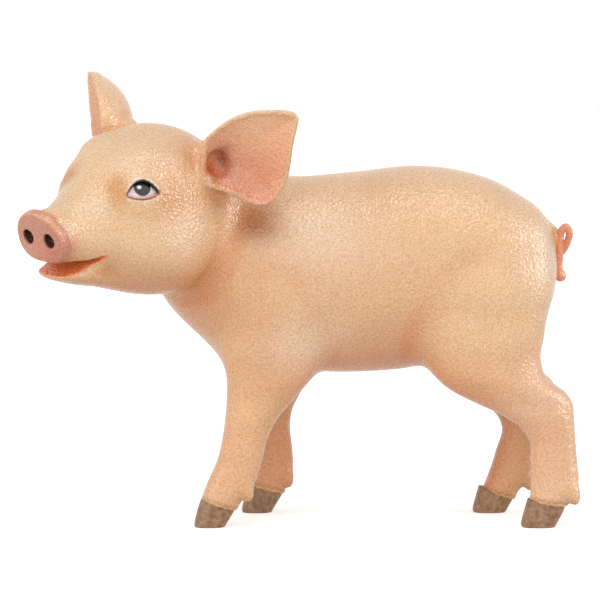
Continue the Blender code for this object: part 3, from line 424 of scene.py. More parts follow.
# One soft touch each: low on the snout's disc, at the tail's root, and painted shade in its
# loop.
DISC_TOUCH = ((SALMON_DEEP, (5, -4), (4, 4.5), 0.6),)
TAIL_ROOT_TOUCH = ((TAIL_PINK, (67.5, 0.4, 73.3), (2.4, 2.8, 3.5), 0.6),)
TAIL_LOOP_SHADE = ((TAIL_SHADE_RED, (69.6, 0, 73), (1.4, 2.5, 3.5), 0.8),)

# ---- distance functions


def unit(v):
    """The vector at length one."""
    return np.asarray(v) / np.linalg.norm(v)


def smooth_curve(x, stations):
    """A smooth curve through the stations, straight beyond them: values at each x."""
    table = np.asarray(stations, float)
    at, values = table[:, 0], table[:, 1:]
    slope = np.gradient(values, at, axis=0)
    kept = np.clip(x, at[0], at[-1])
    i = np.clip(np.searchsorted(at, kept) - 1, 0, len(at) - 2)
    width = (at[i + 1] - at[i])[:, None]
    t = (kept - at[i])[:, None] / width
    return (
        (2 * t**3 - 3 * t**2 + 1) * values[i]
        + (t**3 - 2 * t**2 + t) * width * slope[i]
        + (3 * t**2 - 2 * t**3) * values[i + 1]
        + (t**3 - t**2) * width * slope[i + 1]
        + np.minimum(x - at[0], 0)[:, None] * slope[0]
        + np.maximum(x - at[-1], 0)[:, None] * slope[-1]
    )


def join(a, b, k):
    """Smooth union of two distances, with a fillet about k wide."""
    h = np.maximum(k - np.abs(a - b), 0) / k
    return np.minimum(a, b) - h * h * k * 0.25


def cut(a, b, k):
    """The first solid with the second taken away, its edge eased about k wide."""
    return -join(-a, b, k)


def ellipsoid(p, centre, radii, axes=None):
    """Distance to an ellipsoid, whose axes are the rows of a rotation."""
    q = p - centre
    if axes is not None:
        q = q @ axes.T
    radii = np.asarray(radii)
    inner = np.linalg.norm(q / radii, axis=1)
    outer = np.linalg.norm(q / radii**2, axis=1)
    return inner * (inner - 1.0) / np.maximum(outer, 1e-9)


def loft(along, across, rise, stations, caps, square, taper=0.0):
    """Distance to a body of rounded sections, whose size follows the stations."""
    first, last = stations[0][0], stations[-1][0]
    kept = np.clip(along, first - caps[0], last + caps[1])
    low, high, middle, half = smooth_curve(kept, stations).T
    tall = (high - low) / 2.0
    v = (rise - (low + high) / 2.0) / tall
    wide = half * (1 - taper * np.clip(v, -1.0, 1.0))
    u = (across - middle) / wide
    cap = np.where(along < first, caps[0], caps[1])
    end = np.maximum(np.maximum(first - along, along - last), 0) / cap
    section = (np.abs(u) ** square + np.abs(v) ** square) ** (CAP_SQUARE / square)
    reach = (section + end**CAP_SQUARE) ** (1.0 / CAP_SQUARE)
    slope = np.sqrt((u / wide) ** 2 + (v / tall) ** 2 + (end / cap) ** 2)
    return reach * (reach - 1.0) / np.maximum(slope, 1e-9)


def closed_curve(points, each=5):
    """A smooth closed outline through the points, as a fine polygon."""
    p = np.asarray(points, float)
    before, after, beyond = (np.roll(p, shift, 0) for shift in (1, -1, -2))
    rows = []
    for t in np.arange(each) / each:
        straight = 2 * p + (after - before) * t
        bend = (2 * before - 5 * p + 4 * after - beyond) * t**2
        twist = (3 * p - before - 3 * after + beyond) * t**3
        rows.append(0.5 * (straight + bend + twist))
    return np.stack(rows, axis=1).reshape(-1, 2)


def polygon_distance(x, y, polygon):
    """Distance to a polygon in its plane, negative inside it."""
    best = np.full(len(x), np.inf)
    inside = np.zeros(len(x), bool)
    for (ax, ay), (bx, by) in zip(polygon, np.roll(polygon, -1, 0)):
        ex, ey = bx - ax, by - ay
        t = np.clip(((x - ax) * ex + (y - ay) * ey) / (ex * ex + ey * ey), 0, 1)
        best = np.minimum(best, (x - ax - ex * t) ** 2 + (y - ay - ey * t) ** 2)
        crosses = (ay > y) != (by > y)
        if ay != by:
            inside ^= crosses & (x < ax + (y - ay) * ex / ey)
    return np.where(inside, -1.0, 1.0) * np.sqrt(best)


def strand(p, line, each=8):
    """Distance to a round strand along a smooth line of points with radii."""
    line = np.asarray(line, float)
    place = np.arange(len(line), dtype=float)
    steps = np.linspace(0, len(line) - 1, each * (len(line) - 1) + 1)
    fine = smooth_curve(steps, np.column_stack([place, line]))
    best = np.full(len(p), np.inf)
    for a, b in zip(fine[:-1], fine[1:]):
        along = b[:3] - a[:3]
        t = np.clip((p - a[:3]) @ along / (along @ along), 0, 1)
        gap = np.linalg.norm(p - a[:3] - t[:, None] * along, axis=1)
        best = np.minimum(best, gap - a[3] - t * (b[3] - a[3]))
    return best


# ---- frames

UP = np.array([0.0, 0.0, 1.0])


def head_axes():
    """The head's forward, left and up, as the rows of a rotation."""
    yaw, pitch, roll = (math.radians(a) for a in (HEAD_YAW, HEAD_PITCH, HEAD_ROLL))
    level = np.array([-math.cos(yaw), -math.sin(yaw), 0.0])
    left = np.array([math.sin(yaw), -math.cos(yaw), 0.0])
    forward = math.cos(pitch) * level + math.sin(pitch) * UP
    up = -math.sin(pitch) * level + math.cos(pitch) * UP
    tipped = math.cos(roll) * left - math.sin(roll) * up
    return np.array([forward, tipped, math.sin(roll) * left + math.cos(roll) * up])


HEAD_AXES = head_axes()


def to_metres(p):
    """Points in millimetres as the frame has them: in metres, about its origin."""
    return (np.asarray(p) - (*MIDDLE, 0.0)) * MM


def to_head(p):
    """Points of the world in the head's frame."""
    return (p - HEAD_PLACE) @ HEAD_AXES.T


def from_head(h):
    """Points of the head's frame in the world."""
    return h @ HEAD_AXES + HEAD_PLACE


def folded(h):
    """Points of the head's frame, its right half folded over onto its left."""
    return np.column_stack([h[:, 0], np.abs(h[:, 1]), h[:, 2]])


def frame_of(along, facing):
    """Three axes as rows: along, across and facing, made square to each other."""
    along = unit(along)
    facing = unit(facing - along * np.dot(along, facing))
    return np.array([along, np.cross(facing, along), facing])


# ---- parts of the head


def ear_frame():
    """The left ear's axes in the head's frame: along, towards the lower edge, opening."""
    along, across, facing = frame_of(EAR_ALONG, EAR_OPENS)
    return np.array([along, -across, facing])


def ear(h):
    """Distances to the left ear, thick behind and thin at its rim, and to its hollow."""
    q = (h - EAR_ROOT) @ ear_frame().T
    along, across, out = q.T
    rim = polygon_distance(along, across, closed_curve(EAR_OUTLINE))
    wall = 1 - np.clip(-rim / EAR_WALL, 0, 1)
    near_root = np.clip(1 - along / EAR_ROOT_REACH, 0, 1)
    half = EAR_HALF_THICK + (EAR_ROOT_THICK - EAR_HALF_THICK) * near_root
    face = EAR_RIM_FRONT - EAR_RIM_SLOPE * across
    hollow_depth = EAR_HOLLOW + EAR_HOLLOW_ROOT * near_root
    sheets = []
    for deep in (hollow_depth, EAR_BACK - EAR_HALF_THICK):
        steep = 2 * deep / EAR_WALL * wall
        sheets.append((out - face + deep * (1 - wall**2)) / np.sqrt(1.0 + steep**2))
    height, behind = sheets
    between = np.maximum.reduce([height, -behind, rim + half])
    cup = np.hypot(np.maximum(rim + half, 0), height) - half
    cup = join(cup, between - EAR_HALF_THICK, EAR_HALF_THICK)
    hollow = np.maximum.reduce([rim + 2 * half, half + CUT_GAP - height, out - EAR_OPEN])
    pad = ellipsoid(q, EAR_PAD, EAR_PAD_RADII)
    canal = ellipsoid(q, EAR_CANAL, EAR_CANAL_RADII)
    return join(cup, pad, EAR_PAD_FILLET), join(hollow, canal, EAR_CANAL_FILLET)


def eye_axes():
    """The left eye's axes in the head's frame: backward, up and outward."""
    outward, slant = unit(EYE_OUTWARD), math.radians(EYE_SLANT)
    level = unit(np.cross(UP, outward))
    rise = np.cross(outward, level)
    back = math.cos(slant) * level + math.sin(slant) * rise
    return np.array([back, np.cross(outward, back), outward])


def to_eye(h):
    """Points of the head's frame in the left eye's axes."""
    return (h - EYE_PLACE) @ eye_axes().T


def outside_lids(q):
    """How far points are above or below the opening between the lids, in an eye's axes."""
    lid = np.where(q[:, 1] > 0.0, EYE_OPENING_UP, EYE_OPENING_DOWN)
    return np.abs(q[:, 1]) - lid * np.maximum(1 - (q[:, 0] / EYE_OPENING_HALF) ** 2, 0)


def disc_frame(h):
    """Points in the snout disc's frame: outward, left, up its face."""
    tilt = math.radians(DISC_TILT)
    q = h - DISC_PLACE
    out = math.cos(tilt) * q[:, 0] - math.sin(tilt) * q[:, 2]
    rise = math.sin(tilt) * q[:, 0] + math.cos(tilt) * q[:, 2]
    return out, q[:, 1], rise


def snout_disc(h):
    """Distance to the disc of the snout, with its two nostrils."""
    out, side, rise = disc_frame(h)
    wide = DISC_HALF_WIDTH * (1 - DISC_TAPER * rise)
    reach = np.hypot(side / wide, rise / DISC_HALF_HEIGHT)
    beside = (reach - 1.0) * DISC_HALF_HEIGHT + DISC_ROUND
    before = np.abs(out) - DISC_HALF_THICK + DISC_ROUND
    inner = np.minimum(np.maximum(beside, before), 0)
    return np.hypot(np.maximum(beside, 0), np.maximum(before, 0)) + inner - DISC_ROUND


def nostril(h):
    """Distance to the left nostril's hollow."""
    out, side, rise = disc_frame(h)
    place = (*NOSTRIL_PLACE, DISC_HALF_THICK)
    return ellipsoid(np.column_stack([side, rise, out]), place, NOSTRIL_RADII)


def mouth_slit(h):
    """Distance to the gap between the lips in side view, and the height of each lip."""
    low, high = smooth_curve(h[:, 0], MOUTH).T
    before = np.maximum(MOUTH[0][0] - h[:, 0], 0)
    return np.hypot(before, h[:, 2] - (low + high) / 2.0) - (high - low) / 2.0, low, high


def uncut_head(h):
    """Distance to the head's flesh before its mouth, nostrils and ears are worked."""
    m = folded(h)
    d = loft(*h.T, SKULL, SKULL_CAPS, SKULL_SQUARE, SKULL_TAPER)
    d = join(d, loft(*h.T, JAW, JAW_CAPS, SKULL_SQUARE), JAW_FILLET)
    d = join(d, ellipsoid(m, CHEEK_PLACE, CHEEK_RADII), CHEEK_FILLET)
    d = join(d, ellipsoid(m, BROW_PLACE, BROW_RADII), BROW_FILLET)
    d = join(d, ellipsoid(m, EYE_PLACE, LID_RADII, eye_axes()), LID_FILLET)
    return join(d, snout_disc(h), DISC_FILLET)


def head(h):
    """Distance to the head's flesh, with its mouth, nostrils, ears and eye openings."""
    m = folded(h)
    d = uncut_head(h)
    d = cut(d, np.maximum(mouth_slit(h)[0], -(d + MOUTH_DEPTH)), MOUTH_EASE)
    d = cut(d, nostril(m), NOSTRIL_EASE)
    cup, hollow = ear(m)
    d = cut(join(d, cup, EAR_FILLET), hollow, EAR_EASE)
    q = to_eye(m)
    lens = ellipsoid(q, (0.0, 0.0, 0.0), EYE_RADII)
    almond = ALMOND_SLOPE * outside_lids(q)
    beyond = np.abs(q[:, 0]) - EYE_OPENING_HALF
    opening = np.maximum.reduce([almond, beyond, -q[:, 2], -SOCKET_DEPTH - lens])
    return cut(d, opening, SOCKET_EASE)


# ---- parts of the body


def lean_at(height):
    """How much of a foot's shift is left at a height: all of it low down, none at the top."""
    return np.clip((SHIFT_TOP - height) / (SHIFT_TOP - SHIFT_LEVEL), 0, 1)


def leg(p, stations, side, shift=0.0):
    """Distance to a leg on one side, its foot shifted along X and its top left alone."""
    lean = shift * lean_at(p[:, 2])
    return loft(p[:, 2], p[:, 1] * side, p[:, 0] - lean, stations, LEG_CAPS, LEG_SQUARE)


def dewclaws(p, place, side, shift):
    """Distance to the pair of small claws that point down and back behind a foot."""
    lean = shift * lean_at(place[2])
    q = p * (1.0, side, 1.0) - (place[0] + lean, *place[1:])
    q[:, 1] = np.abs(q[:, 1])
    axes = frame_of(DEWCLAW_DOWN, DEWCLAW_BACK)
    return ellipsoid(q, (0.0, DEWCLAW_APART, 0.0), DEWCLAW_RADII, axes)


def trunk_and_legs(p):
    """Distance to the flesh of the trunk, the legs and the neck."""
    d = loft(*p.T, TRUNK, TRUNK_CAPS, TRUNK_SQUARE)
    d = join(d, ellipsoid(p, CHEST_PLACE, CHEST_RADII), CHEST_FILLET)
    legs = np.full(len(p), np.inf)
    for stations, claws, _, side, shift, _ in FEET.values():
        one = leg(p, stations, side, shift)
        legs = np.minimum(legs, join(one, dewclaws(p, claws, side, shift), DEWCLAW_FILLET))
    d = join(d, legs, LEG_FILLET)
    return join(d, ellipsoid(p, NECK_PLACE, NECK_RADII), NECK_FILLET)


# ---- from field to mesh

# How far a block's corners are from its middle, in sides; the points done at once; and
# the distance given to a corner that is filled.
HALF_DIAGONAL, BATCH, JUST_INSIDE = 0.9, 200000, -1e-3


def sample(field, low, high, step, reach=3.0, coarse=5):
    """The field on a grid, worked out in full only near its surface."""
    count = [math.ceil((b - a) / step / coarse) * coarse for a, b in zip(low, high)]
    axes = [a + step * np.arange(n) for a, n in zip(low, count)]
    middles = [ax.reshape(-1, coarse).mean(axis=1) for ax in axes]
    grid = np.stack(np.meshgrid(*middles, indexing="ij"), axis=-1).reshape(-1, 3)
    values = field(grid).reshape([len(m) for m in middles])
    for axis in range(3):
        values = np.repeat(values, coarse, axis=axis)
    near = np.argwhere(np.abs(values) < reach + step * coarse * HALF_DIAGONAL)
    points = np.column_stack([axes[k][near[:, k]] for k in range(3)])
    starts = range(0, len(points), BATCH)
    fine = np.concatenate([field(points[i : i + BATCH]) for i in starts])
    values[tuple(near.T)] = fine
    return values


def untangled(values, rounds=12):
    """The samples with each corner filled where two sheets would touch along an edge."""
    for _ in range(rounds):
        inside = values < 0.0
        fill = np.zeros(values.shape, bool)
        for axis in range(3):
            u, v = (axis + 1) % 3, (axis + 2) % 3
            corners = []
            for du, dv in ((0, 0), (1, 0), (0, 1), (1, 1)):
                corner = [slice(None)] * 3
                corner[u] = slice(du, values.shape[u] - 1 + du)
                corner[v] = slice(dv, values.shape[v] - 1 + dv)
                corners.append(tuple(corner))
            a, b, c, d = (inside[corner] for corner in corners)
            fill[corners[1]] |= a & d & ~b & ~c
            fill[corners[0]] |= b & c & ~a & ~d
        if not fill.any():
            break
        values = np.where(fill, JUST_INSIDE, values)
    return values


def surface_net(values, low, step):
    """A quad mesh at the field's zero: one vertex in each cell that the surface crosses."""
    values = untangled(values)
    inside = values < 0.0
    crossings, cells, quads = [], [], []
    for axis in range(3):
        one, two = [slice(None)] * 3, [slice(None)] * 3
        one[axis], two[axis] = slice(0, -1), slice(1, None)
        a, b = values[tuple(one)], values[tuple(two)]
        crossed = np.argwhere(inside[tuple(one)] != inside[tuple(two)])
        va, vb = a[tuple(crossed.T)], b[tuple(crossed.T)]
        place = crossed.astype(float)
        place[:, axis] += va / (va - vb)
        u, v = (axis + 1) % 3, (axis + 2) % 3
        around = []
        for du, dv in ((1, 1), (0, 1), (0, 0), (1, 0)):
            cell = crossed.copy()
            cell[:, u] -= du
            cell[:, v] -= dv
            around.append(np.ravel_multi_index(cell.T, values.shape))
        around = np.stack(around, axis=1)
        quads.append(np.where(va[:, None] < 0.0, around, around[:, ::-1]))
        cells.append(around.ravel())
        crossings.append(np.repeat(place, 4, axis=0))
    used, index = np.unique(np.concatenate(cells), return_inverse=True)
    crossings = np.concatenate(crossings)
    count = np.bincount(index)
    vertices = np.column_stack([np.bincount(index, column) / count for column in crossings.T])
    return vertices * step + low, np.searchsorted(used, np.concatenate(quads))


def settle(field, vertices, rounds=2, reach=0.4):
    """Vertices moved along the field's slope until they lie on its surface."""
    probe = 0.05
    for _ in range(rounds):
        value = field(vertices)
        slope = np.empty_like(vertices)
        for axis in range(3):
            offset = np.zeros(3)
            offset[axis] = probe
            slope[:, axis] = (field(vertices + offset) - field(vertices - offset)) / (2 * probe)
        steep = np.maximum((slope**2).sum(axis=1), 0.25)
        move = -slope * (value / steep)[:, None]
        length = np.linalg.norm(move, axis=1, keepdims=True)
        vertices = vertices + move * np.minimum(1.0, reach / np.maximum(length, 1e-9))
    return vertices


def meshed(field, box, step):
    """The field's surface within a box, as settled vertices and faces."""
    vertices, faces = surface_net(sample(field, *box, step), box[0], step)
    return settle(field, vertices), faces


# ---- the visible surface


def skin(p):
    """Distance to the whole figure's flesh, out to the ragged edge over each hoof."""
    d = join(trunk_and_legs(p), head(to_head(p)), HEAD_FILLET)
    d = join(d, strand(p, TAIL[:TAIL_ROOT_POINTS]), TAIL_FILLET)
    return np.maximum(d, -above_hairline(p))


def above_line(p, stations, shift, hairline):
    """How far points are above a foot's hairline taken as straight, and its middle."""
    toe, heel = stations[1][1] + shift, stations[2][2] + shift
    slope = (hairline[1] - hairline[0]) / (heel - toe)
    return p[:, 2] - hairline[0] - slope * (p[:, 0] - toe), (toe + heel) / 2


def above_hairline(p):
    """How far a point is above the ragged hairline of the foot that it is nearest to."""
    best = np.full(len(p), np.inf)
    for _, _, stations, side, shift, hairline in FEET.values():
        above, middle = above_line(p, stations, shift, hairline)
        turn = np.arctan2(p[:, 1] - side * stations[1][3], p[:, 0] - middle)
        fringe = FRINGE_DEPTH * np.abs(np.sin(FRINGE_COUNT * turn))
        near = (p[:, 1] * side > 0.0) & (np.abs(p[:, 0] - middle) < FOOT_REACH)
        best = np.where(near, above + fringe, best)
    return best


def hoof(p, stations, side, shift, hairline):
    """Distance to a hoof with its cleft, from inside the skin down to the flat floor."""
    q = p - (shift, 0.0, 0.0)
    d = loft(q[:, 2], q[:, 1] * side, q[:, 0], stations, HOOF_CAPS, HOOF_SQUARE)
    _, toe, _, middle, _ = stations[2]
    across = np.abs(q[:, 1] * side - middle) - CLEFT_HALF
    d = cut(d, np.maximum(across, q[:, 0] - (toe + CLEFT_DEPTH)), CLEFT_EASE)
    top = above_line(p, stations, shift, hairline)[0] - HAIRLINE_GAP
    return np.maximum.reduce([d, top, -p[:, 2]])


# ---- paint


def dab(p, place, reach):
    """A soft round touch of the brush: 1 at its place, fading to 0 beyond its reach."""
    return np.exp(-(((p - place) / reach) ** 2).sum(axis=1))


def edge(value, width):
    """1 where the value is below zero, 0 above, eased over a width."""
    return np.clip(0.5 - value / width, 0, 1)


def band(value, middle, half, width):
    """1 where the value is within half of the middle, 0 beyond, eased over a width."""
    return edge(np.abs(value - middle) - half, width)


def lay(paint, pot, cover):
    """A layer of one pot over the paint, as thick as the cover says."""
    return paint + (pot - paint) * cover[:, None]


def touched(paint, p, touches, cover=1.0):
    """The paint with soft touches over it, each a pot, a place, a reach and a strength."""
    for pot, place, reach, strength in touches:
        paint = lay(paint, pot, strength * dab(p, place, reach) * cover)
    return paint


def painted_shade(p):
    """How much painted shade lies here: most in hollows and on faces turned down."""
    bend, here = np.zeros(len(p)), skin(p)
    for axis in range(3):
        step = np.zeros(3)
        step[axis] = SHADE_REACH
        ahead, behind = skin(p + step), skin(p - step)
        bend += (ahead + behind - 2 * here) / SHADE_REACH**2
    # The last axis is up, so what is left from it says which way the surface faces.
    down = np.clip((behind - ahead) / (2 * SHADE_REACH), 0, 1)
    hollowness = edge(bend, SHADE_BEND) ** SHADE_POWER
    return np.clip(SHADE_HOLLOW * hollowness + SHADE_UNDER * down, 0.0, SHADE_MOST)


def skin_paint(p):
    """The colour of the skin at each point."""
    paint = np.tile(CREAM, (len(p), 1))
    h = to_head(p)
    m = folded(h)
    body = edge(trunk_and_legs(p) - head(h), HEAD_BLEND)
    # Painted shade in hollows and underneath, kept off the face.
    shade_cover = np.clip(1 - FACE_UNSHADED * dab(m, FACE_PLACE, FACE_REACH), 0, 1)
    paint = lay(paint, SHADE_BROWN, painted_shade(p) * shade_cover)
    paint = touched(paint, p, BODY_TOUCHES, body)
    paint = touched(paint, m, HEAD_TOUCHES)
    paint = paint_ear(paint, m)
    paint = paint_snout(paint, h, m)
    paint = paint_mouth(paint, h)
    paint = paint_lids(paint, m)
    above = above_hairline(p)
    paint = lay(paint, TUFT_BROWN, 0.75 * band(above, *TUFT_LINE))
    paint = lay(paint, TUFT_PALE, 0.7 * edge(above - TUFT_HEIGHT, TUFT_SOFT))
    return touched(paint, p, TAIL_ROOT_TOUCH)


def paint_ear(paint, m):
    """The pink cup with painted light and shade at its canal; its rim keeps the skin's cream.
    """
    q = (m - EAR_ROOT) @ ear_frame().T
    rim = polygon_distance(q[:, 0], q[:, 1], closed_curve(EAR_OUTLINE))
    inside = edge(ear(m)[1] - EAR_PINK_PAST, 0.7) * edge(rim + EAR_PINK_IN, 0.8)
    paint = lay(paint, EAR_PINK, 0.9 * inside)
    return touched(paint, q, EAR_TOUCHES, edge(rim, 1.0))


def paint_snout(paint, h, m):
    """The salmon disc with its lighter rim, and the dark nostrils."""
    out, side, rise = disc_frame(h)
    reach = np.hypot(side / DISC_HALF_WIDTH, rise / DISC_HALF_HEIGHT)
    face = edge(reach - SALMON_REACH, 0.1) * edge(-DISC_HALF_THICK - RIM_PAST - out, 0.6)
    paint = lay(paint, SALMON, 0.95 * face)
    paint = touched(paint, np.column_stack([side, rise]), DISC_TOUCH, face)
    paint = lay(paint, PEACH, 0.7 * band(reach, *RING_LINE) * edge(-RIM_PAST - out, 0.8))
    return lay(paint, BROWN, edge(nostril(m) - NOSTRIL_PAST, 0.3))


def paint_mouth(paint, h):
    """Red inside the mouth, painted shade deeper in and under the top lip, a thin orange edge.
    """
    slit, low, high = mouth_slit(h)
    here = h[:, 0] > MOUTH_FROM
    inside = edge(slit - 0.1, 0.3) * here
    under = band(slit, *LIP_LINE) * here * (h[:, 2] < (low + high) / 2.0)
    paint = lay(paint, LIP, 0.8 * under)
    depth = np.clip(-uncut_head(h) / MOUTH_DEPTH, 0, 1)
    paint = lay(paint, MOUTH_RED, inside)
    top = np.clip((h[:, 2] - low) / np.maximum(high - low, 0.2), 0, 1)
    # Painted shade, deeper in the mouth and up under the top lip.
    return lay(paint, MOUTH_SHADE, inside * np.clip(0.5 * depth + 1.6 * top - 1.1, 0.0, 0.9))


def paint_lids(paint, m):
    """A dark line on the upper lid and a dull red one on the lower, in pale surrounds."""
    q = to_eye(m)
    x, y, z = q.T
    away = outside_lids(q)
    along = (x - LINER_MIDDLE) / (EYE_OPENING_HALF + LINER_PAST)
    span = np.clip(1.15 - along**8, 0, 1) * (z > LIDS_FRONT)
    paint = lay(paint, LID_PALE, 0.45 * band(away, *LID_GLOW) * span)
    thick = LINER_THICK + LINER_GROWS * (x + EYE_OPENING_HALF)
    paint = lay(paint, LID_RED, band(away, *LID_LINE) * (y <= 0.0) * span)
    return lay(paint, LINER, edge(away - thick, 0.16) * (y > -0.2) * span)


def eye_paint(q):
    """The colour of an eye at each point in the eye's own axes."""
    x, y = q[:, 0], q[:, 1]
    paint = np.tile(SCLERA, (len(q), 1))
    away = -outside_lids(q)
    paint = lay(paint, LID_RED, 0.7 * band(away, *TEAR_LINE) * (y < 0.3))
    paint = lay(paint, LID_PINK, 0.5 * edge(x + 2.2, 1.5))
    far = np.hypot(x - IRIS_PLACE[0], y - IRIS_PLACE[1])
    turn = np.arctan2(y - IRIS_PLACE[1], x - IRIS_PLACE[0])
    paint = lay(paint, IRIS_DARK, edge(far - IRIS_RADIUS, 0.2))
    streak = 0.5 + 0.5 * np.sin(7.0 * turn + 2 * np.sin(3.0 * turn) + 2.5 * far)
    paint = lay(paint, IRIS_GREY, edge(far - GREY_RADIUS, 0.7) * (0.15 + 0.5 * streak))
    glint = np.linalg.norm((q[:, :2] - GLINT_PLACE) / GLINT_RADII, axis=1) - 1.0
    paint = lay(paint, WHITE, edge(glint, 0.4))
    return lay(paint, LINER, edge(away - 0.25, 0.2) * (y > 0.0))


# ---- meshes


def placed(name, data):
    """A new object in the scene."""
    made = bpy.data.objects.new(name, data)
    bpy.context.collection.objects.link(made)
    return made


def add_piece(name, vertices, faces, colours=None):
    """A smooth piece of the visible model, with its paint, if it has one, at each vertex."""
    mesh = bpy.data.meshes.new(name)
    faces = [list(map(int, face)) for face in faces]
    mesh.from_pydata(to_metres(vertices).tolist(), [], faces)
    mesh.update()
    mesh.shade_smooth()
    if colours is not None:
        add_paint(mesh, colours)
    return placed(name, mesh)


def add_paint(mesh, colours):
    """The colours kept with the mesh, one for each vertex."""
    layer = mesh.color_attributes.new("paint", "FLOAT_COLOR", "POINT")
    full = np.column_stack([colours, np.ones(len(colours))]).astype(np.float32)
    layer.data.foreach_set("color", full.ravel())


def thinned(piece, ratio):
    """The piece's mesh, made anew with fewer triangles where it is flat."""
    change = piece.modifiers.new("thin", "DECIMATE")
    change.ratio = ratio
    seen = piece.evaluated_get(bpy.context.evaluated_depsgraph_get())
    mesh = bpy.data.meshes.new_from_object(seen)
    piece.modifiers.clear()
    piece.data = mesh
    return mesh


def refined(mesh, centre, reach, rounds):
    """The triangles near a place split finer, round after round."""
    work = bmesh.new()
    work.from_mesh(mesh)
    middle = Vector(to_metres(centre))
    for _ in range(rounds):
        near = {v for v in work.verts if (v.co - middle).length < reach * MM}
        close = [e for e in work.edges if near.issuperset(e.verts)]
        bmesh.ops.subdivide_edges(work, edges=close, cuts=1, use_grid_fill=True)
        bmesh.ops.triangulate(work, faces=[f for f in work.faces if len(f.verts) > 3])
    work.to_mesh(mesh)
    work.free()


def make_skin():
    """The skin, meshed whole, thinned where it is flat and refined at the eyes."""
    vertices, faces = meshed(skin, SKIN_BOX, SKIN_GRID)
    piece = add_piece("skin", vertices, faces)
    mesh = thinned(piece, min(1.0, SKIN_TRIANGLES / (2.0 * len(faces))))
    for side in (1.0, -1.0):
        place = EYE_PLACE + EYE_FORWARD * eye_axes()[2]
        refined(mesh, from_head(place * (1.0, side, 1.0)), EYE_SPREAD, EYE_ROUNDS)
    refined(mesh, from_head(DISC_PLACE), DISC_SPREAD, DISC_ROUNDS)
    flat = np.empty(3 * len(mesh.vertices), np.float32)
    mesh.vertices.foreach_get("co", flat)
    points = settle(skin, flat.reshape(-1, 3).astype(float) / MM + (*MIDDLE, 0.0))
    mesh.vertices.foreach_set("co", to_metres(points).astype(np.float32).ravel())
    mesh.update()
    mesh.shade_smooth()
    add_paint(mesh, skin_paint(points))
    return piece


def make_eye(name, side):
    """One eye, a painted lens."""
    points = [(0.0, 0.0, 1.0)]
    for ring in range(1, EYE_RINGS + 1):
        polar = EYE_SPAN * (ring / EYE_RINGS) ** EYE_CROWDING
        for turn in range(EYE_AROUND):
            angle = 2 * math.pi * turn / EYE_AROUND
            reach = math.sin(polar)
            points.append((reach * math.cos(angle), reach * math.sin(angle), math.cos(polar)))
    last, faces = len(points) - EYE_AROUND, []
    for turn in range(EYE_AROUND):
        after = (turn + 1) % EYE_AROUND
        faces.append((0, 1 + turn, 1 + after))
        for start in range(1, last, EYE_AROUND):
            below = start + EYE_AROUND
            faces.append((start + turn, below + turn, below + after, start + after))
    faces.append(range(last, len(points)))
    if side < 0.0:
        faces = [face[::-1] for face in faces]
    local = np.array(points) * EYE_RADII
    h = (local @ eye_axes() + EYE_PLACE) * (1.0, side, 1.0)
    return add_piece(name, from_head(h), faces, eye_paint(local))


def make_hoof(foot):
    """One hoof, with its cleft."""
    _, _, stations, side, shift, hairline = FEET[foot]
    _, toe, heel, middle, _ = stations[1]
    low = (toe + shift - HOOF_BEFORE, middle * side - HOOF_BESIDE, HOOF_BOTTOM)
    high = (heel + shift + HOOF_BEHIND, middle * side + HOOF_BESIDE, HOOF_TOP)
    points, faces = meshed(lambda p: hoof(p, stations, side, shift, hairline),
                           (low, high), HOOF_GRID)
    return add_piece("painted_hoof_" + foot, points, faces)


def make_tail():
    """The whole tail, meshed finer than the skin; redder painted shade in its loop's hollow."""
    points, faces = meshed(lambda p: strand(p, TAIL), TAIL_BOX, TAIL_GRID)
    paint = touched(np.tile(TAIL_PINK, (len(points), 1)), points, TAIL_LOOP_SHADE)
    return add_piece("painted_tail", points, faces, paint)


# ---- materials

# Where a colour Mix node takes its factor and two colours, and gives out the blend.
MIX_INPUTS, MIX_OUTPUT = (0, 6, 7), 2
# The glossy coat over the painted eyes.
VARNISH = {"Roughness": 0.12, "Coat Weight": 0.6, "Coat Roughness": 0.05}


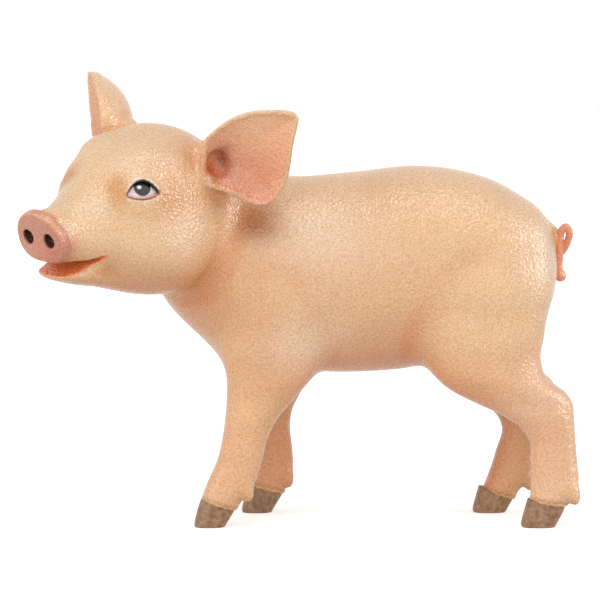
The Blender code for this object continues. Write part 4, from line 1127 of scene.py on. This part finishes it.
class Look:
    """A material under construction: one Principled shader and the nodes that feed it."""

    def __init__(self, name):
        self.material = bpy.data.materials.new(name)
        self.material.use_nodes = True
        self.nodes = self.material.node_tree.nodes
        self.links = self.material.node_tree.links
        self.shader = self.nodes["Principled BSDF"]

    def node(self, kind, **settings):
        """A node of this kind with these settings."""
        made = self.nodes.new(kind)
        for key, value in settings.items():
            setattr(made, key, value)
        return made

    def feed(self, socket, value):
        """An input fed with what another node gives out, with a number or with a colour."""
        if isinstance(value, bpy.types.NodeSocket):
            self.links.new(value, socket)
        else:
            socket.default_value = value if isinstance(value, float) else (*value, 1.0)

    def texture(self, kind, size, **inputs):
        """A texture over the object's own space, with this size and these inputs."""
        made = self.node(kind)
        self.links.new(self.node("ShaderNodeTexCoord").outputs["Object"], made.inputs["Vector"])
        for name, value in {"Scale": 1.0 / (size * MM), **inputs}.items():
            made.inputs[name].default_value = value
        return made

    def noise(self, size, detail=2.0, roughness=0.5):
        """A noise whose features are about this many millimetres across."""
        made = self.texture("ShaderNodeTexNoise", size, Detail=detail, Roughness=roughness)
        return made.outputs["Fac"]

    def spots(self, size, smooth):
        """Rounded pebbles about this many millimetres across."""
        made = self.texture("ShaderNodeTexVoronoi", size)
        made.feature = "SMOOTH_F1"
        made.inputs["Smoothness"].default_value = smooth
        return made.outputs["Distance"]

    def ramp(self, value, stops):
        """A value spread over two greys, each with the value at which it is reached."""
        made = self.node("ShaderNodeValToRGB")
        for point, (at, grey) in zip(made.color_ramp.elements, stops):
            point.position = at
            point.color = (grey, grey, grey, 1.0)
        self.links.new(value, made.inputs["Fac"])
        return made.outputs["Color"]

    def mix(self, kind, factor, a, b):
        """Two colours blended, each a socket or a fixed colour."""
        made = self.node("ShaderNodeMix", data_type="RGBA", blend_type=kind)
        for number, value in zip(MIX_INPUTS, (factor, a, b)):
            self.feed(made.inputs[number], value)
        return made.outputs[MIX_OUTPUT]

    def paint(self):
        """The paint kept at the mesh's vertices."""
        return self.node("ShaderNodeVertexColor", layer_name="paint").outputs["Color"]

    def bump(self, height, distance, strength, under=None):
        """A bump of this many millimetres over whatever bump is under it."""
        made = self.node("ShaderNodeBump")
        made.inputs["Distance"].default_value = distance * MM
        made.inputs["Strength"].default_value = strength
        self.links.new(height, made.inputs["Height"])
        if under is not None:
            self.links.new(under, made.inputs["Normal"])
        return made.outputs["Normal"]

    def finish(self, inputs):
        """The material, its shader fed with these inputs."""
        for name, value in inputs.items():
            self.feed(self.shader.inputs[name], value)
        return self.material


def painted_wood(name):
    """Paint stippled with a sponge over carved wood: pebbled, with a satin gloss."""
    look = Look(name)
    pebbles = look.spots(size=0.75, smooth=0.4)
    grain = look.noise(size=0.45, detail=1.0)
    broad = look.noise(size=9.0)
    specks = look.ramp(grain, ((0.38, 0.0), (0.58, 1.0)))
    tint = look.mix("MIX", specks, SPECK_TINT, WHITE)
    colour = look.mix("MULTIPLY", 0.8, look.paint(), tint)
    colour = look.mix("MULTIPLY", 0.3, colour, look.ramp(broad, ((0.3, 0.82), (0.7, 1.0))))
    normal = look.bump(grain, distance=0.14, strength=0.9)
    normal = look.bump(pebbles, distance=0.22, strength=0.9, under=normal)
    satin = look.ramp(grain, ((0.3, 0.22), (0.7, 0.34)))
    return look.finish({"Base Color": colour, "Normal": normal, "Roughness": satin})


def painted_hoof(name):
    """Grey-brown paint, mottled, over wood left rough by the gouge."""
    look = Look(name)
    mottle = look.noise(size=1.3, detail=4.0, roughness=0.65)
    grain = look.noise(size=0.5, roughness=0.6)
    pale = look.ramp(mottle, ((0.35, 0.0), (0.65, 1.0)))
    colour = look.mix("MIX", pale, HOOF_BROWN, HOOF_PALE)
    colour = look.mix("MULTIPLY", 0.5, colour, look.ramp(grain, ((0.3, 0.7), (0.6, 1.0))))
    normal = look.bump(mottle, distance=0.25, strength=0.6)
    normal = look.bump(grain, distance=0.1, strength=0.6, under=normal)
    return look.finish({"Base Color": colour, "Normal": normal, "Roughness": 0.5})


def painted_eye(name):
    """Smooth paint under a clear, glossy varnish."""
    look = Look(name)
    brush = look.noise(size=0.5)
    colour = look.mix("MULTIPLY", 0.2, look.paint(), look.ramp(brush, ((0.3, 0.8), (0.7, 1.0))))
    normal = look.bump(brush, distance=0.02, strength=0.4)
    return look.finish({"Base Color": colour, "Normal": normal, **VARNISH})


# ---- stage and camera


def make_floor():
    """A pale floor that glows a little and casts no colour on the figure."""
    mesh = bpy.data.meshes.new("floor")
    mesh.from_pydata(FLOOR_CORNERS, [], [(0, 1, 2, 3)])
    floor = placed("floor", mesh)
    mesh.materials.append(Look("floor").finish(FLOOR_PAINT))
    floor.visible_diffuse = False


def make_sky():
    """An even white sky: dim for what it lights, brighter in a gloss, white behind it all."""
    world = bpy.data.worlds.new("studio")
    bpy.context.scene.world = world
    world.use_nodes = True
    nodes, links = world.node_tree.nodes, world.node_tree.links
    rays = nodes.new("ShaderNodeLightPath")
    sky = nodes["Background"]
    sky.inputs["Color"].default_value = (1.0, 1.0, 1.0, 1.0)
    sky.inputs["Strength"].default_value = WORLD_LIGHT
    surface = sky.outputs[0]
    for ray, strength in (("Is Glossy Ray", WORLD_SHEEN), ("Is Camera Ray", WORLD_SEEN)):
        sky = nodes.new("ShaderNodeBackground")
        sky.inputs["Color"].default_value = (1.0, 1.0, 1.0, 1.0)
        sky.inputs["Strength"].default_value = strength
        mixed = nodes.new("ShaderNodeMixShader")
        links.new(rays.outputs[ray], mixed.inputs["Fac"])
        links.new(surface, mixed.inputs[1])
        links.new(sky.outputs[0], mixed.inputs[2])
        surface = mixed.outputs[0]
    links.new(surface, nodes["World Output"].inputs["Surface"])


def make_lights(lights, diffuse):
    """The lights of one list, which light the paint or show only as a gloss on it."""
    for name, place, spread, power in lights:
        data = bpy.data.lights.new(name, "SUN")
        data.angle = math.radians(spread)
        data.energy = power
        lamp = placed(name, data)
        lamp.location = place
        lamp.rotation_euler = Vector(place).to_track_quat("Z", "Y").to_euler()
        lamp.visible_diffuse = diffuse


def make_camera():
    """The camera, square to the figure's left side and a few degrees above level."""
    data = bpy.data.cameras.new("camera")
    camera = placed("camera", data)
    tilt = math.radians(CAMERA_ABOVE)
    back = Vector((0.0, -math.cos(tilt), math.sin(tilt)))
    camera.location = Vector(to_metres((0.0, 0.0, CAMERA_AIM))) + back * CAMERA_AWAY
    camera.rotation_euler = back.to_track_quat("Z", "Y").to_euler()
    data.sensor_width = CAMERA_SENSOR
    data.angle = 2.0 * math.atan(CAMERA_HALF_WIDTH * MM / CAMERA_AWAY)
    data.clip_start = CAMERA_NEAR
    bpy.context.scene.camera = camera


def hand_over(piece, material, slot, *nodes):
    """A piece given its material and body, the nodes it stands for hidden. The slot is unused.
    """
    piece.data.materials.append(material)
    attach(piece, "root")
    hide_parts(*nodes)


def main():
    """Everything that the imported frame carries."""
    wood = painted_wood("painted_wood")
    flesh = ("head", "snout", "lower_jaw", "ear_left", "ear_right", "neck", "trunk")
    hand_over(make_skin(), wood, "painted_skin", *flesh, *("leg_" + foot for foot in FEET))
    hand_over(make_tail(), wood, "painted_skin", "tail_loop", "tail_tip")
    hoof_paint = painted_hoof("painted_hoof")
    for foot in FEET:
        hand_over(make_hoof(foot), hoof_paint, "painted_hoof", "hoof_" + foot)
    varnish = painted_eye("painted_eye")
    for name, side in (("eye_left", 1.0), ("eye_right", -1.0)):
        hand_over(make_eye("painted_" + name, side), varnish, "painted_eye", name)
    make_floor()
    make_sky()
    make_lights(LIGHTS, True)
    make_lights(GLOSSES, False)
    make_camera()
    bpy.context.scene.view_settings.view_transform = "Standard"


main()
